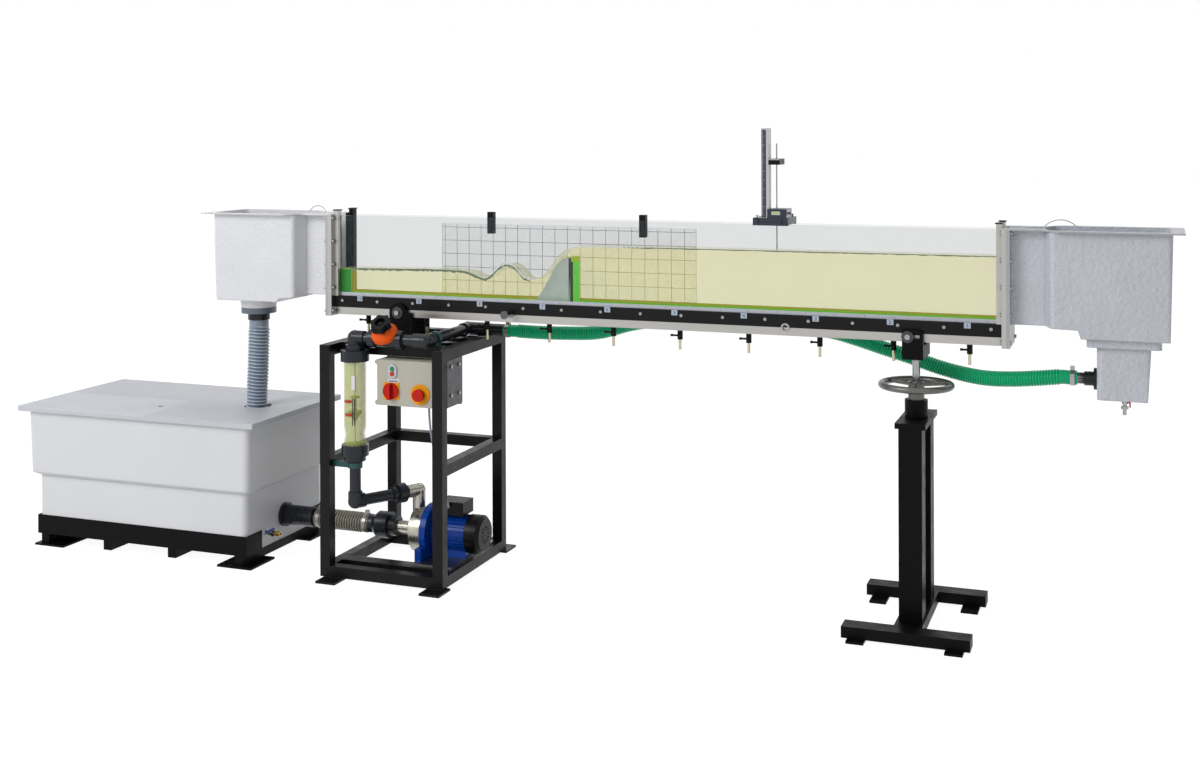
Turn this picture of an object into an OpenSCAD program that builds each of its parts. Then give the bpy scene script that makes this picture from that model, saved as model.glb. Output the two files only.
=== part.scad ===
// Tilting hydraulic flume: a glass-sided channel between two moulded end vessels, hinged on a pump
// frame at the left and lifted by a screw jack at the right, with a closed circuit through a tank,
// a pump and a flow meter. Looking along +Y, the water runs from right to left. Millimetres, +Z up.

/* [Layout] */
// From the middle of the model to the middle of the channel
flume_x = 370; // [340:1:400]
// From the outlet's end frame in to the pivot axis
pivot_in = 278; // [262:1:295]
// From the inlet's end frame in to the lifting pin
pin_in = 301; // [286:1:318]
// Height of the pivot axis above the ground
pivot_z = 960; // [950:1:1000]

/* [Channel] */
// Length between the end frames
section_l = 2470; // [2460:1:2500]
// Clear width between the panes
inner_w = 86; // [84:1:88]
// Depth from the floor to the top of the panes
channel_d = 300; // [290:1:320]
// Height of the channel floor above the pivot axis
bed_rise = 58; // [56:1:62]
// Thickness of each pane
pane_t = 10; // [8:1:10]
// Thickness of each black rail
rail_t = 13; // [12:1:13]
// Height of each black rail
rail_h = 43; // [40:1:44]
// From the channel floor down to the top of the rails
rail_drop = 5; // [4:1:6]
// Width of the steel box under the rails
foot_w = 124; // [120:1:126]
// Height of the steel box under the rails
foot_h = 28; // [27:1:30]
// Thickness of the channel sheet
sheet_t = 3; // [2:0.5:3]
// Spacing of the rail screws
rail_pitch = 150; // [140:1:151]
// Number of rail screws on each side
rail_screws = 17; // [9:2:17]

/* [End frames] */
// Thickness of the steel end plates
plate_t = 14; // [12:1:16]
// Thickness of the moulded flanges
flange_t = 12; // [10:1:14]
// Width of the end plates and flanges
flange_w = 180; // [176:1:190]
// From the pivot axis down to the lower edge of the flanges
flange_drop = 22; // [20:1:24]
// From the top of the panes up to the top of the flanges
flange_rise = 5; // [4:1:10]
// Length of a corner post along the channel
post_l = 18; // [15:1:20]
// Width of a corner post across the channel
post_w = 28; // [26:1:28]
// From the top of the panes up to the top of the posts
post_rise = 19; // [12:1:24]
// Spacing of the flange bolts
bolt_pitch = 88; // [80:1:90]
// Number of flange bolts on each side
flange_bolts_n = 5; // [4:1:5]

/* [End vessels] */
// Length of a vessel beyond its flange face
tub_l = 502; // [485:1:510]
// Half width of a vessel's body
tub_half = 115; // [105:1:120]
// Thickness of a vessel's wall
tub_wall = 6; // [5:1:7]
// Length of the neck
neck_l = 117; // [110:1:125]
// From the channel floor down to a vessel's floor
tub_drop = 35; // [30:1:40]
// Length of the rim beyond the flange face
rim_l = 537; // [530:1:545]
// Half width of the rim
rim_half = 141; // [136:1:146]
// From the flange face to the middle of the sump or outlet
sump_u = 357; // [340:1:360]
// Length of the sump at its top
sump_l = 164; // [150:1:170]
// Width of the sump
sump_w = 150; // [140:1:160]
// Height of the sump with its collar
sump_h = 195; // [180:1:205]
// Length of the collar round the sump
collar_l = 224; // [215:1:230]
// Radius of the outlet socket at its top
socket_r = 74; // [70:1:78]
// Height of the outlet socket
socket_h = 36; // [30:1:40]

/* [Pivot and jack] */
// Half of the clear gap inside the pivot fork and the jack fork
fork_gap = 68; // [67.5:0.5:70]
// Thickness of a fork cheek
cheek_t = 12; // [10:1:13]
// Width of the pivot fork along the channel
pivot_fork_l = 87; // [80:1:90]
// From the pivot axis up to the top of the cheeks
cheek_rise = 40; // [30:1:44]
// Radius of the pivot bolt and of the lifting pin
pivot_r = 6; // [5:0.5:6.5]
// Radius of the big washers
washer_r = 22; // [18:1:25]
// Width of the jack fork along the channel
jack_fork_l = 69; // [66:1:72]
// From the pivot axis down to the jack fork's foot
jack_fork_drop = 75; // [72:1:76]
// From the pivot axis up to the top of the jack fork
jack_fork_rise = 24; // [20:1:28]
// Length of the slot in the jack fork
slot_l = 48; // [46:1:50]
// Radius of the spindle
spindle_r = 13; // [12:1:14]
// Length of the spindle below the fork
spindle_l = 300; // [280:1:320]
// Outer radius of the stand's handwheel
wheel_r = 125.5; // [120:0.5:127]
// Radius of the handwheel's rim
wheel_rim_r = 11; // [9:0.5:11]
// Height of the middle of the handwheel's rim above the ground
wheel_z = 790; // [785:1:795]
// Radius of the handwheel's hub
wheel_hub_r = 27; // [25:1:28]
// Number of spokes
spokes = 3; // [3:1:5]

/* [Stand] */
// Radius of the spindle's bearing housing
housing_r = 38; // [36:1:40]
// Height of the bearing housing
housing_h = 57; // [50:1:60]
// Height of the stand's top above the ground
stand_top = 685; // [680:1:688]
// Length of the top plate along the channel
top_plate_l = 100; // [96:1:110]
// Size of each column tube
column_s = 76; // [70:1:78]
// Clear gap between the column tubes
column_gap = 126; // [120:1:130]
// Length of the base beams
beam_l = 407; // [390:1:420]
// Width of a base beam
beam_w = 70; // [66:1:76]
// Height of a base beam
beam_h = 37; // [35:1:45]
// Distance between the middles of the base beams
beam_gap = 460; // [440:1:470]
// Thickness of every foot plate
foot_t = 8; // [6:1:10]

/* [Pump frame] */
// Length of the pump frame
frame_l = 500; // [490:1:510]
// Width of the pump frame
frame_w = 550; // [540:1:560]
// From the pivot axis down to the top of the frame
frame_drop = 103; // [101:1:105]
// Size of the square tube
tube_s = 40; // [38:1:42]
// From the frame's left end to the pivot axis
frame_lead = 218; // [210:1:226]
// Height of the top of the middle rails
mid_rail_z = 446; // [430:1:450]

/* [Pump] */
// Height of the pump's axis above the ground
pump_z = 140; // [138:1:145]
// Shift of the pump's axis from the channel's middle
pump_y = -8; // [-12:1:-4]
// Outer radius of the volute
volute_r = 84; // [82:1:86]
// Depth of the volute
volute_l = 70; // [66:1:74]
// Wall of the volute
volute_wall = 6; // [5:1:8]
// Radius of the motor's blue end disc
adapter_r = 100; // [98:1:103]
// Depth of the motor's blue end disc
adapter_l = 25; // [22:1:28]
// Radius of the motor's housing to the tips of its fins
motor_r = 68; // [66:1:69]
// Length of the motor's housing
motor_l = 144; // [138:1:150]
// Height of a cooling fin
fin_h = 8; // [6:1:9]
// Number of cooling fins
fins = 28; // [20:4:32]
// Radius of the fan cowl
cowl_r = 71; // [70:1:72]

/* [Pipework] */
// Outer radius of the plastic pipe
pipe_r = 20.5; // [19:0.5:21]
// Wall of the plastic pipe
pipe_wall = 3; // [2.5:0.5:4]
// Outer radius of the pipe sockets
socket_pipe_r = 26; // [25:0.5:27]
// Height of the pressure pipe above the frame's top
pipe_over = 28; // [27:1:30]
// From the frame's left end to the flow meter's axis
meter_in = 128; // [122:1:132]
// From the frame's front face to the flow meter's axis
meter_back = 35; // [33:1:40]
// Radius of the flow meter's tube
meter_r = 41; // [40:0.5:43]
// Radius of the bore of the flow meter's tube
meter_bore_r = 36; // [35:0.5:37]
// Radius of the flow meter's waist
meter_waist_r = 36; // [35.5:0.5:37]
// Radius of the flow meter's bore at its waist
meter_throat_r = 29.5; // [29:0.5:30]
// Length of the flow meter's tube
meter_l = 305; // [295:1:310]
// Radius of the flow meter's upper union nut
meter_nut_r = 52; // [50:1:53]
// Radius of the float
float_r = 24; // [22:0.5:26]
// From the flow meter to the valve
valve_ahead = 133; // [125:1:140]
// From the flow meter to the elbow behind the valve
elbow_ahead = 289; // [285:1:292]
// From the flow meter back to the branch to the hose
branch_back = 350; // [345:1:352]
// Slope of the valve's bonnet above the level
bonnet_tilt = 52; // [44:1:58]
// Radius of the valve's bonnet
bonnet_r = 48; // [46:1:50]

/* [Control box] */
// Length of the control box
box_l = 240; // [230:1:250]
// Depth of the control box
box_d = 112; // [104:1:112]
// Height of the control box
box_h = 165; // [160:1:170]
// From the frame's top down to the top of the control box
box_drop = 49; // [46:1:52]
// Radius of the emergency stop's yellow disc
estop_disc_r = 38; // [34:1:40]
// Radius of the emergency stop's mushroom
estop_r = 22; // [19:1:23]
// Radius of the main switch's knob
switch_r = 31; // [28:1:32]

/* [Tank] */
// Length of the lid
lid_l = 1090; // [1080:1:1110]
// Width of the lid
lid_w = 640; // [630:1:650]
// Thickness of the lid
lid_t = 20; // [18:1:24]
// Height of the lid's underside above the ground
tank_top = 535; // [525:1:545]
// Length of the tank at its top
tank_l = 1028; // [1020:1:1040]
// Width of the tank at its top
tank_w = 600; // [596:1:610]
// Height of the step in the tank's wall above the ground
step_z = 275; // [260:1:290]
// Wall of the tank
tank_wall = 6; // [5:1:8]
// Length of the hatch along the tank
hatch_l = 604; // [590:1:610]
// Width of the hatch
hatch_w = 308; // [300:1:312]

/* [Level gauge] */
// From the middle of the channel forward to the probe
gauge_ahead = 476; // [460:1:490]
// Length of the gauge's base
gauge_l = 123; // [118:1:128]
// Thickness of the gauge's base
gauge_t = 23; // [20:1:24]
// Height of the gauge's column
column_h = 307; // [300:1:310]
// Length of the probe
probe_l = 370; // [360:1:375]

/* [Weir] */
// Height of the weir
weir_h = 163; // [150:1:180]
// Length of the weir's curved back
weir_l = 142; // [130:1:150]
// From the middle of the channel back to the weir's crest
weir_back = 290; // [280:1:300]
// Height of the outlet weir plate
outlet_weir_h = 94; // [85:1:100]

/* [Hoses] */
// Outer radius of the supply hose over its ribs
supply_r = 26; // [25:0.5:26.5]
// Radius of the supply hose between its ribs
supply_root_r = 23.5; // [23:0.5:24]
// Outer radius of the outlet hose over its ribs
drain_r = 42.5; // [42:0.5:43]
// Radius of the outlet hose between its ribs
drain_root_r = 38.5; // [38:0.5:39]
// Outer radius of the suction hose over its ribs
suction_r = 38; // [37:0.5:39]
// Radius of the suction hose between its ribs
suction_root_r = 34.5; // [34:0.5:35]

/* [Hidden] */
$fn = 40;
// Radial clearance of a running fit
fit = 0.05;
// Gap between faces that slide past each other
slip = 0.3;
// From the corners of an eight-sided bore in to its sides
flat = cos(180 / 8);
// Overrun of a cutting tool
over = 1;
rail_screw_h = 3.5;
rail_shank_r = 3;
cap_over = 3;
cap_t = 4;
flange_bolt_r = 4;
flange_head_h = 6;
bolt_inset = 9;
bolt_top = 15;
tub_round = 18;
sump_draft = 12;
rim_t = 5;
washer_t = 4;
spindle_neck_r = 10;
spindle_neck_h = 13;
spoke_r = 6;
fork_round = 16;
shaft_r = 10;
hatch_t = 6;
spindle_ahead = 16;
top_plate_t = 18;
collar_h = 28;
ring_h = 22;
tail_h = 28;
pivot_foot_h = 12;
flange_head_r = 6.5;
base_top = 118;
bar_top = 44;
bar_w = 36;
flare_l = 22;
neck_drop = 6;
socket_foot_r = 67;
socket_bore_r = 40;
stand_foot_l = 57;
stand_foot_w = 160;
tie_w = 90;
frame_foot_w = 92;
frame_foot_over = 60;
cowl_l = 58;
probe_r = 2.5;
step_in = 24;
collar_w = 186;
top_plate_w = 280;
valve_wheel_r = 39;
frame_foot_l = 80;
rail_screw_r = 5.5;
elbow_in = 22;
volute_ahead = 98;
term_in = 28;
suction_lead = 150;
pivot_fork_in = 35;
inlet_drop = 175;
lift_ahead = 455;
bush_back = 414;
clamp_back = 630;
clamp_near = 29;
outlet_u = 368;
neck_taper = 12;

end_l = flume_x - section_l / 2;
end_r = flume_x + section_l / 2;
pivot_x = end_l + pivot_in;
pin_x = end_r - pin_in;
bed_z = pivot_z + bed_rise;
pane_top = bed_z + channel_d;
rail_top = bed_z - rail_drop;
rail_z = rail_top - rail_h;
foot_z = rail_z - foot_h;
half_in = inner_w / 2;
half_glass = half_in + pane_t;
half_rail = half_glass + rail_t;
half_foot = foot_w / 2;
face_l = end_l - plate_t;
face_r = end_r + plate_t;
flange_z = pivot_z - flange_drop;
flange_top = pane_top + flange_rise;
half_flange = flange_w / 2;
bolt_y = half_flange - bolt_inset;
tub_z = bed_z - tub_drop;
neck_half = half_in + tub_wall;
outlet_x = face_l - outlet_u;
sump_x = face_r + sump_u;
sump_z = tub_z - sump_h;
socket_z = tub_z - socket_h;
ring_z = socket_z - ring_h;
tail_z = ring_z - tail_h;
spindle_x = pin_x + spindle_ahead;
frame_top = pivot_z - frame_drop;
frame_x0 = pivot_x - frame_lead;
frame_x1 = frame_x0 + frame_l;
half_frame = frame_w / 2;

// Boxes, bars and pipes between two stated limits
module slab(x0, x1, y0, y1, z0, z1) {
  translate([x0, y0, z0]) cube([x1 - x0, y1 - y0, z1 - z0]);
}
module rod_x(r, x0, x1, y, z) {
  translate([x0, y, z]) rotate([0, 90, 0]) cylinder(r = r, h = x1 - x0);
}
module rod_y(r, x, y0, y1, z) {
  translate([x, y0, z]) rotate([-90, 0, 0]) cylinder(r = r, h = y1 - y0);
}
module rod_z(r, x, y, z0, z1) {
  translate([x, y, z0]) cylinder(r = r, h = z1 - z0);
}
module cone_x(r0, r1, x0, x1, y, z) {
  translate([x0, y, z]) rotate([0, 90, 0]) cylinder(r1 = r0, r2 = r1, h = x1 - x0);
}
module cone_z(r0, r1, x, y, z0, z1) {
  translate([x, y, z0]) cylinder(r1 = r0, r2 = r1, h = z1 - z0);
}
module rod_to(r, a, b) {
  d = b - a;
  translate(a) rotate([0, acos(d.z / norm(d)), atan2(d.y, d.x)]) cylinder(r = r, h = norm(d));
}
// An outline in Y and Z, drawn out along X
module along_x(x0, x1) {
  translate([x0, 0, 0]) rotate([90, 0, 90]) linear_extrude(x1 - x0) children();
}
// An outline in X and Z, drawn out along Y
module along_y(y0, y1) {
  translate([0, y1, 0]) rotate([90, 0, 0]) linear_extrude(y1 - y0) children();
}
module both_sides() {
  children();
  mirror([0, 1, 0]) children();
}

// A ribbed tube along a list of points: an outer wall that steps between crest and root, and a bore
function unit(v) = v / norm(v);
function catmull(a, b, c, d, t) = 0.5 * (2 * b + (c - a) * t + (2 * a - 5 * b + 4 * c - d) * t * t
  + (3 * b - a - 3 * c + d) * t * t * t);
function route_at(p, i, t) = catmull(p[max(i - 1, 0)], p[i], p[i + 1], p[min(i + 2, len(p) - 1)], t);
function smooth_route(p, step) = [
  for (i = [0:len(p) - 2])
    let(n = max(1, round(norm(p[i + 1] - p[i]) / step)))
      for (k = [0:n - 1]) route_at(p, i, k / n),
  p[len(p) - 1]];
function ring(p, i, r, side, sides) =
  let(t = unit(p[min(i + 1, len(p) - 1)] - p[max(i - 1, 0)]), s = unit(cross(t, side)), u = cross(s, t))
    [for (k = [0:sides - 1]) p[i] + r * (cos(360 * k / sides) * s + sin(360 * k / sides) * u)];
module ribbed_tube(p, crest_r, root_r, bore_r, side, plain_n, bore_step, sides = 8) {
  n = len(p);
  plain = function(i) i < plain_n || i > n - 1 - plain_n;
  keep = [for (i = [0:n - 1]) if (!plain(i) || i == 0 || i == n - 1 || i == plain_n - 1
    || i == n - plain_n) i];
  outer = [for (i = keep) ring(p, i, plain(i) ? root_r : (i % 2 == 0 ? crest_r : root_r), side, sides)];
  inner_at = [n - 1, for (i = [n - plain_n:-bore_step:plain_n]) i, plain_n - 1, 0];
  inner = [for (i = inner_at) ring(p, i, bore_r, side, sides)];
  rings = concat(outer, inner);
  m = len(rings);
  points = [for (r = rings) each r];
  faces = [for (j = [0:m - 1]) for (k = [0:sides - 1])
    let(a = j * sides + k, b = j * sides + (k + 1) % sides,
      c = ((j + 1) % m) * sides + (k + 1) % sides, d = ((j + 1) % m) * sides + k)
      each [[a, b, c], [a, c, d]]];
  polyhedron(points = points, faces = faces, convexity = 10);
}

// Tank: a stepped shell that narrows to its foot, in a tray of two angle beams on cross bars
lid_lead = 181;
lid_x0 = outlet_x + lid_lead - lid_l;
lid_x1 = lid_x0 + lid_l;
tank_x = (lid_x0 + lid_x1) / 2;
tank_round = 26;
tank_neck_l = tank_l - neck_taper;
tank_neck_w = tank_w - neck_taper;
tank_foot_l = tank_neck_l - 2 * step_in;
tank_foot_w = tank_neck_w - 2 * step_in;
step_h = 15;
base_sheet = 3;
base_flange = 6;
base_wrap = 104;
tank_z = bar_top + base_flange;
hole_r = 53;
hole_shift = -5;
ledge = 40;
lid_round = 4;
module slab_round(l, w, h, r) {
  linear_extrude(h) offset(r) square([l - 2 * r, w - 2 * r], center = true);
}
module tank_shape(s, extra) {
  thin = 0.5;
  translate([tank_x, 0, 0]) {
    hull() {
      translate([0, 0, step_z + step_h]) slab_round(tank_neck_l - 2 * s, tank_neck_w - 2 * s, thin,
        tank_round, $fn = 24);
      translate([0, 0, tank_top - thin + extra]) slab_round(tank_l - 2 * s, tank_w - 2 * s, thin,
        tank_round, $fn = 24);
    }
    hull() {
      translate([0, 0, step_z]) slab_round(tank_foot_l - 2 * s, tank_foot_w - 2 * s, thin,
        tank_round, $fn = 24);
      translate([0, 0, step_z + step_h]) slab_round(tank_neck_l - 2 * s, tank_neck_w - 2 * s, thin,
        tank_round, $fn = 24);
    }
    translate([0, 0, tank_z + s]) slab_round(tank_foot_l - 2 * s, tank_foot_w - 2 * s,
      step_z + thin - tank_z - s, tank_round, $fn = 24);
  }
}
module tank_body() {
  color("whitesmoke") difference() {
    tank_shape(0, 0);
    tank_shape(tank_wall, over);
    rod_x(suction_root_r - suction_wall, tank_foot_x1 - 2 * tank_wall, tank_foot_x1 + over, pump_y,
      suction_z);
    rod_x(cock_bore_r, tank_foot_x1 - 2 * tank_wall, tank_foot_x1 + over, cock_y, cock_z);
  }
}
tank_foot_x0 = tank_x - tank_foot_l / 2;
tank_foot_x1 = tank_x + tank_foot_l / 2;
module tank_base() {
  x0 = tank_foot_x0 - base_sheet;
  x1 = tank_foot_x1 + base_sheet;
  y1 = tank_foot_w / 2 + base_sheet;
  bar_step = (x1 - x0 - 2 * bar_w) / 3;
  color("#1c1c1c") {
    both_sides() {
      difference() {
        slab(x0, x1, y1 - base_wrap, y1, bar_top, base_top);
        slab(x0 + base_sheet, x1 - base_sheet, y1 - base_wrap - over, y1 - base_sheet, tank_z,
          base_top + over);
      }
      for (q = [[x0 - base_sheet, x0 + 0.9 * tank_plate_l],
        [x1 + 2 * tank_plate_over - tank_plate_l, x1 + 2 * tank_plate_over]])
        slab(q[0], q[1], y1 + tank_plate_over - tank_plate_w, y1 + tank_plate_over, 0, foot_t);
    }
    for (i = [0:3])
      slab(x0 + bar_w / 2 + i * bar_step, x0 + 3 * bar_w / 2 + i * bar_step, -y1, y1, foot_t, bar_top);
  }
}
tank_plate_l = 150;
tank_plate_w = 160;
tank_plate_over = 14;
module tank_lid() {
  color("gainsboro") difference() {
    translate([tank_x, 0, tank_top]) slab_round(lid_l, lid_w, lid_t, lid_round, $fn = 24);
    slab(lid_x0 - over, lid_x0 + hatch_l, -lid_w / 2 - over, -lid_w / 2 + hatch_w,
      tank_top + lid_t - hatch_t, tank_top + lid_t + over);
    slab(lid_x0 + 2 * ledge, lid_x0 + hatch_l - ledge, -lid_w / 2 + 2 * ledge,
      -lid_w / 2 + hatch_w - ledge, tank_top - over, tank_top + lid_t);
    rod_z(hole_r, outlet_x + hole_shift, 0, tank_top - over, tank_top + lid_t + over);
  }
}
finger_r = 12;
module tank_hatch() {
  color("lightsteelblue") difference() {
    slab(lid_x0 + slip, lid_x0 + hatch_l - slip, -lid_w / 2 + slip, -lid_w / 2 + hatch_w - slip,
      tank_top + lid_t - hatch_t, tank_top + lid_t);
    rod_z(finger_r, lid_x0 + hatch_l - 1.4 * ledge, -lid_w / 2 + hatch_w - 3.2 * ledge, tank_top,
      tank_top + lid_t + over);
  }
}

// Drain cock of the tank
cock_y = -135;
cock_z = 100;
cock_r = 9;
cock_bore_r = 5;
cock_l = 62;
cock_stem_r = 4;
cock_stem_h = 20;
lever_l = 46;
lever_w = 12;
lever_t = 3;
module tank_drain_valve() {
  x1 = tank_foot_x1;
  xm = x1 + cock_l / 2;
  color("silver") {
    difference() {
      union() {
        rod_x(cock_r, x1, x1 + cock_l, cock_y, cock_z);
        rod_x(1.5 * cock_r, x1, x1 + lever_t, cock_y, cock_z);
        rod_x(1.3 * cock_r, xm - cock_r, xm + cock_r, cock_y, cock_z);
        rod_z(cock_stem_r, xm, cock_y, cock_z, cock_z + cock_stem_h);
      }
      rod_x(cock_bore_r, x1 - over, x1 + cock_l + over, cock_y, cock_z);
    }
  }
}
module tank_drain_lever() {
  xm = tank_foot_x1 + cock_l / 2;
  z0 = cock_z + cock_stem_h - lever_t - over;
  color("royalblue") difference() {
    union() {
      rod_z(lever_w / 2, xm, cock_y, z0, z0 + lever_t);
      slab(xm - lever_w / 2, xm + lever_w / 2, cock_y - lever_l, cock_y, z0, z0 + lever_t);
      slab(xm - lever_w / 2, xm + lever_w / 2, cock_y - lever_l, cock_y - lever_l + lever_t,
        z0 - lever_t, z0 + lever_t);
    }
    rod_z(cock_stem_r + fit, xm, cock_y, z0 - over, z0 + lever_t + over);
  }
}

// Suction line from the tank to the pump
suction_z = pump_z;
suction_wall = 5;
suction_x0 = tank_foot_x1 + suction_lead;
suction_flange_r = 46;
suction_flange_t = 14;
volute_x1 = pivot_x + volute_ahead;
volute_x0 = volute_x1 - volute_l;
nipple_r = 22;
nipple_l = 66;
union_l = 80;
union_r = 50;
union_x1 = volute_x0 - nipple_l;
union_x0 = union_x1 - union_l;
tail_l = 40;
hose_bore_r = 0.9 * suction_root_r;
hose_spigot_r = hose_bore_r * flat - slip;
suction_x1 = union_x0 - tail_l;
suction_pitch = 5;
module suction_hose() {
  n = 2 * round((suction_x1 - suction_x0) / suction_pitch / 2);
  step = (suction_x1 - suction_x0) / n;
  color("darkkhaki") ribbed_tube([for (i = [0:n]) [suction_x0 + i * step, pump_y, suction_z]],
    suction_r, suction_root_r, hose_bore_r, [0, 0, 1], 6, 12);
}
clamp_w = 14;
clamp_t = 2;
module clamp_ring(r, x, y, z) {
  difference() {
    union() {
      rod_x(r + clamp_t, x - clamp_w / 2, x + clamp_w / 2, y, z);
      slab(x - clamp_w / 2, x + clamp_w / 2, y - clamp_w / 2, y + clamp_w / 2, z + r, z + r + clamp_w);
    }
    rod_x(r, x - clamp_w, x + clamp_w, y, z);
  }
}
module hose_clamps() {
  color("silver") {
    clamp_ring(suction_root_r, suction_x0 + clamp_w, pump_y, suction_z);
    clamp_ring(suction_root_r, suction_x1 - clamp_w, pump_y, suction_z);
    clamp_ring(supply_root_r + slip, supply_route[0].x + clamp_w, supply_route[0].y, supply_route[0].z);
  }
}

// Grey plastic pipework: tank socket, suction union, discharge pipe, flow meter nuts, valve body
meter_x = frame_x0 + meter_in;
meter_y = -half_frame + meter_back;
meter_z0 = 495;
meter_z1 = meter_z0 + meter_l;
pipe_z = frame_top + pipe_over;
low_z = 285;
elbow_x = volute_x0 + elbow_in;
elbow_p = [elbow_x, pump_y, low_z];
meter_p = [meter_x, meter_y, low_z];
union_share = 0.2;
union_p = elbow_p + union_share * (meter_p - elbow_p);
meter_nut_h = 40;
branch_x = meter_x + elbow_ahead;
branch_y = meter_y + branch_back;
valve_x = meter_x + valve_ahead;
branch_l = 74;
clip_z = 419;
module pipe_corner(p) {
  translate(p) sphere(r = 1.04 * socket_pipe_r);
}
module pvc_pipework() {
  d = unit(union_p - meter_p);
  color("#3c4650") {
    // socket on the tank and tail of the suction hose
    difference() {
      union() {
        rod_x(suction_flange_r, tank_foot_x1, tank_foot_x1 + suction_flange_t, pump_y, suction_z);
        rod_x(suction_r, tank_foot_x1, suction_x0 - 2 * suction_wall, pump_y, suction_z);
        rod_x(suction_root_r - suction_wall, tank_foot_x1, suction_x0, pump_y, suction_z);
        rod_x(hose_spigot_r, tank_foot_x1, suction_x0 + 2 * clamp_w, pump_y, suction_z);
      }
      rod_x(nipple_r, tank_foot_x1 - over, suction_x0 + 3 * clamp_w, pump_y, suction_z);
    }
    // union before the pump
    difference() {
      union() {
        rod_x(hose_spigot_r, suction_x1 - 2 * clamp_w, union_x0, pump_y, suction_z);
        rod_x(suction_root_r, suction_x1, union_x0, pump_y, suction_z);
        cone_x(suction_root_r, union_r, union_x0 - union_l / 4, union_x0, pump_y, suction_z);
        rod_x(union_r, union_x0, union_x0 + 0.6 * union_l, pump_y, suction_z);
        rod_x(0.76 * union_r, union_x0, union_x1, pump_y, suction_z);
      }
      rod_x(nipple_r, suction_x1 - 3 * clamp_w, union_x1 + over, pump_y, suction_z);
    }
    // discharge pipe up to the flow meter
    difference() {
      union() {
        rod_to(pipe_r, meter_p, union_p);
        rod_to(socket_pipe_r, meter_p, meter_p + 1.4 * socket_pipe_r * d);
        pipe_corner(meter_p);
        rod_z(socket_pipe_r, meter_x, meter_y, low_z, low_z + 1.4 * socket_pipe_r);
        rod_z(pipe_r, meter_x, meter_y, low_z, meter_z0 - meter_nut_h);
        rod_to(1.4 * socket_pipe_r, union_p - 1.6 * socket_pipe_r * d,
          union_p - 0.4 * socket_pipe_r * d);
        rod_to(socket_pipe_r, union_p - 2.4 * socket_pipe_r * d, union_p);
        rod_z(1.5 * socket_pipe_r, meter_x, meter_y, meter_z0 - 2 * meter_nut_h + pipe_r,
          meter_z0 - meter_nut_h);
        rod_z(0.96 * meter_nut_r, meter_x, meter_y, meter_z0 - meter_nut_h, meter_z0);
      }
      rod_to(pipe_r - pipe_wall, meter_p, union_p + over * d);
      translate(meter_p) sphere(r = pipe_r - pipe_wall + over);
      rod_z(pipe_r - pipe_wall, meter_x, meter_y, low_z, meter_z0 + over);
    }
    // upper nut, valve body and pressure pipe
    difference() {
      union() {
        rod_z(meter_nut_r, meter_x, meter_y, meter_z1, meter_z1 + meter_nut_h);
        rod_z(1.3 * socket_pipe_r, meter_x, meter_y, meter_z1, meter_z1 + 1.5 * meter_nut_h);
        rod_z(socket_pipe_r, meter_x, meter_y, meter_z1, pipe_z);
        pipe_corner([meter_x, meter_y, pipe_z]);
        rod_x(socket_pipe_r, meter_x, meter_x + 1.6 * socket_pipe_r, meter_y, pipe_z);
        rod_x(pipe_r, meter_x, branch_x, meter_y, pipe_z);
        rod_x(1.3 * socket_pipe_r, valve_x - 2.6 * socket_pipe_r, valve_x - 1.6 * socket_pipe_r,
          meter_y, pipe_z);
        rod_x(1.1 * socket_pipe_r, valve_x - 2.6 * socket_pipe_r, valve_x + 2.6 * socket_pipe_r,
          meter_y, pipe_z);
        rod_x(1.3 * socket_pipe_r, valve_x + 1.6 * socket_pipe_r, valve_x + 2.6 * socket_pipe_r,
          meter_y, pipe_z);
        rod_x(socket_pipe_r, branch_x - 1.8 * socket_pipe_r, branch_x, meter_y, pipe_z);
        pipe_corner([branch_x, meter_y, pipe_z]);
        rod_y(socket_pipe_r, branch_x, meter_y, meter_y + 1.6 * socket_pipe_r, pipe_z);
        rod_y(pipe_r, branch_x, meter_y, branch_y, pipe_z);
        rod_y(socket_pipe_r, branch_x, branch_y - 1.6 * socket_pipe_r, branch_y, pipe_z);
        pipe_corner([branch_x, branch_y, pipe_z]);
        rod_x(socket_pipe_r, branch_x, branch_x + branch_l, branch_y, pipe_z);
        rod_x(supply_root_r, branch_x + branch_l, supply_route[0].x - slip, branch_y, pipe_z);
        rod_x(supply_spigot_r, branch_x, supply_route[0].x + 2 * clamp_w, branch_y, pipe_z);
      }
      rod_z(pipe_r - pipe_wall, meter_x, meter_y, meter_z1 - over, pipe_z);
      rod_x(pipe_r - pipe_wall, meter_x, branch_x, meter_y, pipe_z);
      rod_y(pipe_r - pipe_wall, branch_x, meter_y, branch_y, pipe_z);
      for (q = [[meter_x, meter_y], [branch_x, meter_y], [branch_x, branch_y]])
        translate([q.x, q.y, pipe_z]) sphere(r = pipe_r - pipe_wall + over);
      rod_x(supply_spigot_bore_r, branch_x, supply_route[0].x + 3 * clamp_w, branch_y, pipe_z);
      bonnet_frame() translate([0, 0, valve_seat]) cylinder(r = bonnet_r + over, h = valve_wheel_r * 2);
    }
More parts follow.
